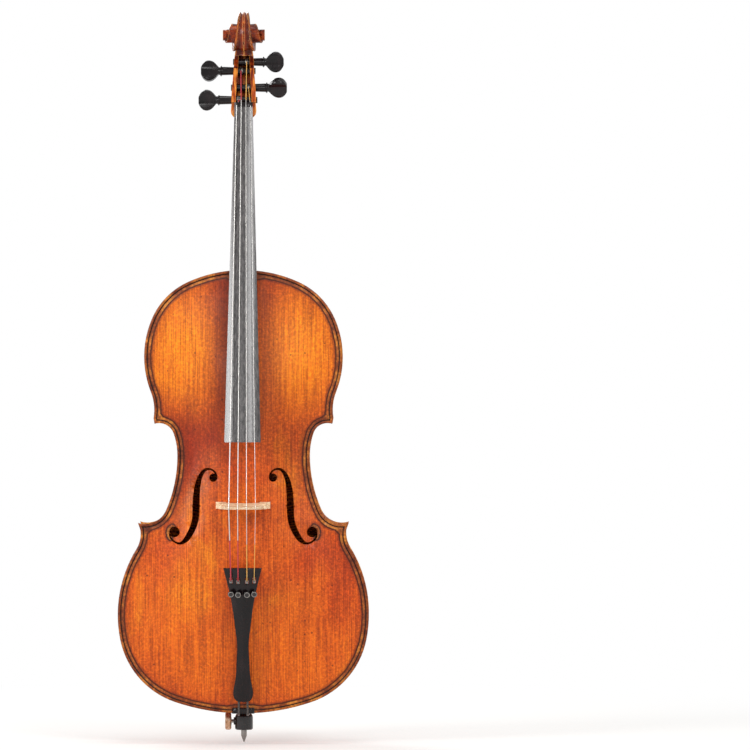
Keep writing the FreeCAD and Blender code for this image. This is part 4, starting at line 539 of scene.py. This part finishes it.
# the tones above, laid one over another
tone = cloud_tone.outputs["Color"]
for share, over in (
        (flute_share, flute_light_and_shade.outputs["Color"]), (cheek_edge, cheek_tone.outputs["Color"]),
        (ridge, colour("#F4A040")), (hollow_painted_shade, colour("#180301"))):
    tone = add(carved, "ShaderNodeMix", {0: share.outputs[0], 6: tone, 7: over}, data_type="RGBA").outputs[2]
head_rough = add(carved, "ShaderNodeMapRange", {"Value": cloud.outputs["Fac"], "To Min": 0.22, "To Max": 0.42})
relief = add(carved, "ShaderNodeBump", {"Height": cloud.outputs["Fac"], "Strength": 0.2, "Distance": 0.0003})
shader = add(carved, "ShaderNodeBsdfPrincipled", {
    "Base Color": tone, "Roughness": head_rough.outputs[0], "IOR": 1.5, "Specular IOR Level": 0.2,
    "Coat Weight": 0.12, "Coat Roughness": 0.08, "Normal": relief.outputs["Normal"]})
add(carved, "ShaderNodeOutputMaterial", {"Surface": shader.outputs["BSDF"]})
head = dressed("head", "sound_box", carved, 32.0)
# an even mesh of 0.65 mm squares, so that the knife-cut ridges and hollows can take their own tones: wear with
# painted highlights on the ridges, painted shade in the hollows
head.data.remesh_voxel_size = 0.00065
bpy.ops.object.voxel_remesh()
bpy.ops.object.modifier_add(type="SMOOTH")
head.modifiers[-1].factor, head.modifiers[-1].iterations = 0.5, 2
bpy.ops.object.modifier_apply(modifier=head.modifiers[-1].name)
bpy.ops.object.shade_smooth()
corners = [vertex.co.copy() for vertex in head.data.vertices]
normals = [vertex.normal.copy() for vertex in head.data.vertices]
tree = BVHTree.FromPolygons(corners, [tuple(face.vertices) for face in head.data.polygons])
across_of = head.data.attributes.new("across", "FLOAT", "POINT")
# the cheeks' front edges face forward below the throat with nothing in front of them; a flute runs from edge to
# edge of the back, the crown or the throat, and is hollowed by 1.2 % of its width
cheek_top, throat_low, narrowest, widest, dish = 1.16, 1.165, 0.013, 0.047, 0.012
flutes = []
for index, (corner, normal) in enumerate(zip(corners, normals)):
    in_front = tree.ray_cast(corner + 0.001 * normal, normal)[0]
    front_edge = corner.z < cheek_top and normal.y < -0.6 and in_front is None
    across_of.data[index].value = -2.0 if front_edge else -1.0
    if abs(normal.x) > 0.55 or (corner.z < throat_low and normal.y < 0.3):
        continue
    under = corner - 0.0016 * normal
    right, left = (tree.ray_cast(under, Vector((way, 0, 0)))[3] for way in (1, -1))
    if right is None or left is None or not narrowest < right + left < widest:
        continue
    share = min(1.0, abs(right - left) / (right + left))
    across_of.data[index].value = share
    flutes.append((index, corner - normal * dish * (right + left) * math.sin(math.pi * share) ** 2))
for index, place_now in flutes:
    head.data.vertices[index].co = place_now

# ---------------------------------------- ebony: fingerboard, nut, saddle, tailpiece, plug, pegs
# Black heartwood planed, scraped and polished without varnish. It looks black-brown with hair-fine pores along the
# grain and takes long soft reflections down the board.
ebony, place = new_material("polished ebony")
pore_place = add(ebony, "ShaderNodeMapping", {"Vector": place, "Scale": (900.0, 900.0, 26.0)})
pore = add(ebony, "ShaderNodeTexNoise", {"Vector": pore_place.outputs[0], "Scale": 1.0, "Detail": 2.0})
shade_place = add(ebony, "ShaderNodeMapping", {"Vector": place, "Scale": (70.0, 70.0, 5.0)})
shade = add(ebony, "ShaderNodeTexNoise", {"Vector": shade_place.outputs[0], "Scale": 1.0, "Detail": 4.0})
shade_tone = add(ebony, "ShaderNodeValToRGB", {"Fac": shade.outputs["Fac"]},
    stops=[(0.30, "#080506"), (0.55, "#120B0D"), (0.78, "#241819")])
pore_share = add(ebony, "ShaderNodeMapRange", {
    "Value": pore.outputs["Fac"], "From Min": 0.55, "From Max": 0.8, "To Min": 0.0, "To Max": 0.6})
with_pore = add(ebony, "ShaderNodeMix", {
    0: pore_share.outputs[0], 6: shade_tone.outputs["Color"], 7: colour("#372B2B")}, data_type="RGBA")
ebony_rough = add(ebony, "ShaderNodeMapRange", {
    "Value": shade.outputs["Fac"], "From Min": 0.3, "From Max": 0.7, "To Min": 0.10, "To Max": 0.22})
relief = add(ebony, "ShaderNodeBump", {"Height": pore.outputs["Fac"], "Strength": 0.12, "Distance": 0.0001})
shader = add(ebony, "ShaderNodeBsdfPrincipled", {
    "Base Color": with_pore.outputs[2], "Roughness": ebony_rough.outputs[0], "Specular IOR Level": 0.3,
    "Normal": relief.outputs["Normal"]})
add(ebony, "ShaderNodeOutputMaterial", {"Surface": shader.outputs["BSDF"]})
for node in ("nut", "saddle", "tailpiece", "endpin_plug"):
    dressed(node, "sound_box", ebony, 32.0)
# the board is scraped and oiled along its length: grey-brown grain streaks whose pale tone is a painted reflection,
# and a broad silky reflection
board_ebony, place = new_material("ebony board with painted sheen")
line_place = add(board_ebony, "ShaderNodeMapping", {"Vector": place, "Scale": (420.0, 420.0, 1.5)})
line = add(board_ebony, "ShaderNodeTexNoise", {"Vector": line_place.outputs[0], "Scale": 1.0, "Detail": 4.0})
grain_and_sheen_tone = add(board_ebony, "ShaderNodeValToRGB", {"Fac": line.outputs["Fac"]},
    stops=[(0.36, "#1E1A1B"), (0.50, "#332E2E"), (0.66, "#565150")])
line_rough = add(board_ebony, "ShaderNodeMapRange", {"Value": line.outputs["Fac"], "To Min": 0.20, "To Max": 0.34})
shader = add(board_ebony, "ShaderNodeBsdfPrincipled", {
    "Base Color": grain_and_sheen_tone.outputs["Color"], "Roughness": line_rough.outputs[0], "Specular IOR Level": 1.0})
add(board_ebony, "ShaderNodeOutputMaterial", {"Surface": shader.outputs["BSDF"]})
dressed("fingerboard", "sound_box", board_ebony, 32.0)
for string in "cgda":
    dressed("peg_" + string, "peg_" + string, ebony, 32.0)

# ---------------------------------------- bridge
# Spotted maple cut on the quarter, unvarnished, with dark silky flecks lying across its face. Its thin top edge is
# dirty from rosin and string metal.
bridge_wood, place = new_material("spotted maple")
axes = add(bridge_wood, "ShaderNodeSeparateXYZ", {"Vector": place})
fleck_place = add(bridge_wood, "ShaderNodeMapping", {"Vector": place, "Scale": (210.0, 300.0, 700.0)})
fleck = add(bridge_wood, "ShaderNodeTexNoise", {"Vector": fleck_place.outputs[0], "Scale": 1.0, "Detail": 2.0})
fleck_tone = add(bridge_wood, "ShaderNodeValToRGB", {"Fac": fleck.outputs["Fac"]},
    stops=[(0.36, "#DDAE80"), (0.50, "#F8D4AA"), (0.68, "#FFECCF")])
crown = add(bridge_wood, "ShaderNodeMapRange", {
    "Value": axes.outputs["Y"], "From Min": -0.172, "From Max": -0.158, "To Min": 0.3, "To Max": 0.0})
with_dirt = add(bridge_wood, "ShaderNodeMix", {
    0: crown.outputs[0], 6: fleck_tone.outputs["Color"], 7: colour("#6E4528")}, data_type="RGBA")
relief = add(bridge_wood, "ShaderNodeBump", {"Height": fleck.outputs["Fac"], "Strength": 0.25, "Distance": 0.0001})
shader = add(bridge_wood, "ShaderNodeBsdfPrincipled", {
    "Base Color": with_dirt.outputs[2], "Roughness": 0.5, "Normal": relief.outputs["Normal"]})
add(bridge_wood, "ShaderNodeOutputMaterial", {"Surface": shader.outputs["BSDF"]})
dressed("bridge", "sound_box", bridge_wood, 30.0)

# ---------------------------------------- tail cord
# One length of black braided line that holds the tailpiece over the saddle and round the endpin. The braid gives it
# a fine slanting texture, whose pale bands are painted glints.
braid, place = new_material("braided black nylon")
slant = add(braid, "ShaderNodeMapping", {"Vector": place, "Rotation": (0.6, 0.5, 0.8)})
strand = add(braid, "ShaderNodeTexWave", {
    "Vector": slant.outputs[0], "Scale": 210.0, "Distortion": 0.6}, wave_type="BANDS", bands_direction="DIAGONAL")
# painted glints: the pale bands of the braid
strand_and_glint_tone = add(braid, "ShaderNodeValToRGB", {"Fac": strand.outputs["Fac"]},
    stops=[(0.2, "#191516"), (0.8, "#5B5049")])
relief = add(braid, "ShaderNodeBump", {"Height": strand.outputs["Fac"], "Strength": 0.5, "Distance": 0.0003})
shader = add(braid, "ShaderNodeBsdfPrincipled", {
    "Base Color": strand_and_glint_tone.outputs["Color"], "Roughness": 0.4, "Sheen Weight": 0.2,
    "Normal": relief.outputs["Normal"]})
add(braid, "ShaderNodeOutputMaterial", {"Surface": shader.outputs["BSDF"]})
dressed("tail_cord", "sound_box", braid, 40.0)

# ---------------------------------------- strings and their silk
# Steel cores wound with flat tungsten and chrome ribbon, dark grey for the two low strings and brighter for the two
# high ones; all four are drawn here in one bright steel. The windings are 0.3 mm wide and are drawn at 1.5 mm. Silk
# covers both ends, red on C and G, yellow on D and A, lapped in a close spiral.
string_metal, place = new_material("wound string steel")
winding = add(string_metal, "ShaderNodeTexWave", {
    "Vector": place, "Scale": 209.0, "Distortion": 0.0}, wave_type="BANDS", bands_direction="Z")
winding_tone = add(string_metal, "ShaderNodeValToRGB", {"Fac": winding.outputs["Fac"]},
    stops=[(0.1, "#A9A5A2"), (0.9, "#F6F4F0")])
relief = add(string_metal, "ShaderNodeBump", {
    "Height": winding.outputs["Fac"], "Strength": 0.4, "Distance": 0.0001})
shader = add(string_metal, "ShaderNodeBsdfPrincipled", {
    "Base Color": winding_tone.outputs["Color"], "Metallic": 0.75, "Roughness": 0.32,
    "Normal": relief.outputs["Normal"]})
add(string_metal, "ShaderNodeOutputMaterial", {"Surface": shader.outputs["BSDF"]})
for string in "cgda":
    dressed("string_" + string, "sound_box", string_metal, 60.0)
coil_metal, place = new_material("string wound on a peg")
turns = add(coil_metal, "ShaderNodeTexWave", {
    "Vector": place, "Scale": 157.0, "Distortion": 0.0}, wave_type="BANDS", bands_direction="X")
turns_tone = add(coil_metal, "ShaderNodeValToRGB", {"Fac": turns.outputs["Fac"]},
    stops=[(0.15, "#3A3533"), (0.85, "#A8A19A")])
relief = add(coil_metal, "ShaderNodeBump", {"Height": turns.outputs["Fac"], "Strength": 1.0, "Distance": 0.0006})
shader = add(coil_metal, "ShaderNodeBsdfPrincipled", {
    "Base Color": turns_tone.outputs["Color"], "Metallic": 1.0, "Roughness": 0.35,
    "Normal": relief.outputs["Normal"]})
add(coil_metal, "ShaderNodeOutputMaterial", {"Surface": shader.outputs["BSDF"]})
for string in "cgda":
    dressed("coil_" + string, "peg_" + string, coil_metal, 40.0)
for silk_name, light_hex, dark_hex, slot_name, nodes in (
        ("red silk", "#D42A3C", "#8E1522", "red_silk", ("silk_peg_c_g", "silk_tail_c_g")),
        ("yellow silk", "#FFC964", "#C98A33", "cream_silk", ("silk_peg_d_a", "silk_tail_d_a"))):
    silk, place = new_material(silk_name)
    slant = add(silk, "ShaderNodeMapping", {"Vector": place, "Rotation": (0.0, 0.25, 0.0)})
    lap = add(silk, "ShaderNodeTexWave", {
        "Vector": slant.outputs[0], "Scale": 209.0, "Distortion": 0.3}, wave_type="BANDS", bands_direction="Z")
    lap_tone = add(silk, "ShaderNodeValToRGB", {"Fac": lap.outputs["Fac"]},
        stops=[(0.15, dark_hex), (0.75, light_hex)])
    relief = add(silk, "ShaderNodeBump", {"Height": lap.outputs["Fac"], "Strength": 0.6, "Distance": 0.0002})
    shader = add(silk, "ShaderNodeBsdfPrincipled", {
        "Base Color": lap_tone.outputs["Color"], "Roughness": 0.6, "Sheen Weight": 0.4,
        "Normal": relief.outputs["Normal"]})
    add(silk, "ShaderNodeOutputMaterial", {"Surface": shader.outputs["BSDF"]})
    for node in nodes:
        dressed(node, "sound_box", silk, 60.0)

# ---------------------------------------- fine tuners
# A knurled knob of black lacquered brass on a steel screw presses the tail of a small steel bell crank, whose fork
# holds the string. The lacquer is worn to metal on the knobs' rims.
black_metal, place = new_material("black lacquered brass")
speckle = add(black_metal, "ShaderNodeTexNoise", {"Vector": place, "Scale": 420.0, "Detail": 3.0})
speckle_tone = add(black_metal, "ShaderNodeValToRGB", {"Fac": speckle.outputs["Fac"]},
    stops=[(0.35, "#131112"), (0.62, "#211D1E"), (0.80, "#4C4642")])
metal_rough = add(black_metal, "ShaderNodeMapRange", {
    "Value": speckle.outputs["Fac"], "To Min": 0.25, "To Max": 0.45})
shader = add(black_metal, "ShaderNodeBsdfPrincipled", {
    "Base Color": speckle_tone.outputs["Color"], "Metallic": 0.4, "Roughness": metal_rough.outputs[0],
    "Coat Weight": 0.5})
add(black_metal, "ShaderNodeOutputMaterial", {"Surface": shader.outputs["BSDF"]})
steel, place = new_material("drawn steel")
scratch_place = add(steel, "ShaderNodeMapping", {"Vector": place, "Scale": (900.0, 900.0, 30.0)})
scratch = add(steel, "ShaderNodeTexNoise", {"Vector": scratch_place.outputs[0], "Scale": 1.0, "Detail": 2.0})
scratch_tone = add(steel, "ShaderNodeValToRGB", {"Fac": scratch.outputs["Fac"]},
    stops=[(0.3, "#77736F"), (0.7, "#A9A4A0")])
steel_rough = add(steel, "ShaderNodeMapRange", {"Value": scratch.outputs["Fac"], "To Min": 0.18, "To Max": 0.38})
shader = add(steel, "ShaderNodeBsdfPrincipled", {
    "Base Color": scratch_tone.outputs["Color"], "Metallic": 1.0, "Roughness": steel_rough.outputs[0]})
add(steel, "ShaderNodeOutputMaterial", {"Surface": shader.outputs["BSDF"]})
# each knob's face is sunk 0.3 mm inside a rim 1.1 mm wide that is worn to the metal
bpy.context.tool_settings.mesh_select_mode = (False, False, True)
for string in "cgda":
    knob = dressed("tuner_knob_" + string, "tuner_knob_" + string, black_metal, 30.0)
    knob.data.materials.append(steel)
    for face in knob.data.polygons:
        face.select = face.normal.y < -0.9
    bpy.ops.object.mode_set(mode="EDIT")
    bpy.ops.mesh.dissolve_limited(angle_limit=math.radians(1.0))
    bpy.ops.mesh.inset(thickness=0.0011, depth=-0.0003, use_select_inset=True)
    knob.active_material_index = 1
    bpy.ops.object.material_slot_assign()
    bpy.ops.object.mode_set(mode="OBJECT")
    dressed("tuner_screw_" + string, "tuner_screw_" + string, steel, 35.0)
    dressed("tuner_lever_" + string, "tuner_lever_" + string, steel, 35.0)

# ---------------------------------------- endpin
# A polished steel rod slides in a black collar on the plug; a screw with an oval wing of old brass pinches it. The
# wing's lacquer has gone and left it peach-coloured, tarnished in patches.
dressed("endpin_housing", "sound_box", black_metal, 35.0)
dressed("endpin_rod", "endpin_rod", steel, 35.0)
dressed("endpin_thumb_stem", "thumb_stem", steel, 35.0)
old_brass, place = new_material("aged brass")
tarnish = add(old_brass, "ShaderNodeTexNoise", {"Vector": place, "Scale": 160.0, "Detail": 4.0})
tarnish_tone = add(old_brass, "ShaderNodeValToRGB", {"Fac": tarnish.outputs["Fac"]},
    stops=[(0.32, "#8F6A4C"), (0.50, "#CFA27F"), (0.70, "#F0D2BA")])
brass_rough = add(old_brass, "ShaderNodeMapRange", {"Value": tarnish.outputs["Fac"], "To Min": 0.28, "To Max": 0.5})
shader = add(old_brass, "ShaderNodeBsdfPrincipled", {
    "Base Color": tarnish_tone.outputs["Color"], "Metallic": 0.8, "Roughness": brass_rough.outputs[0]})
add(old_brass, "ShaderNodeOutputMaterial", {"Surface": shader.outputs["BSDF"]})
dressed("endpin_thumb_wing", "thumb_wing", old_brass, 35.0)
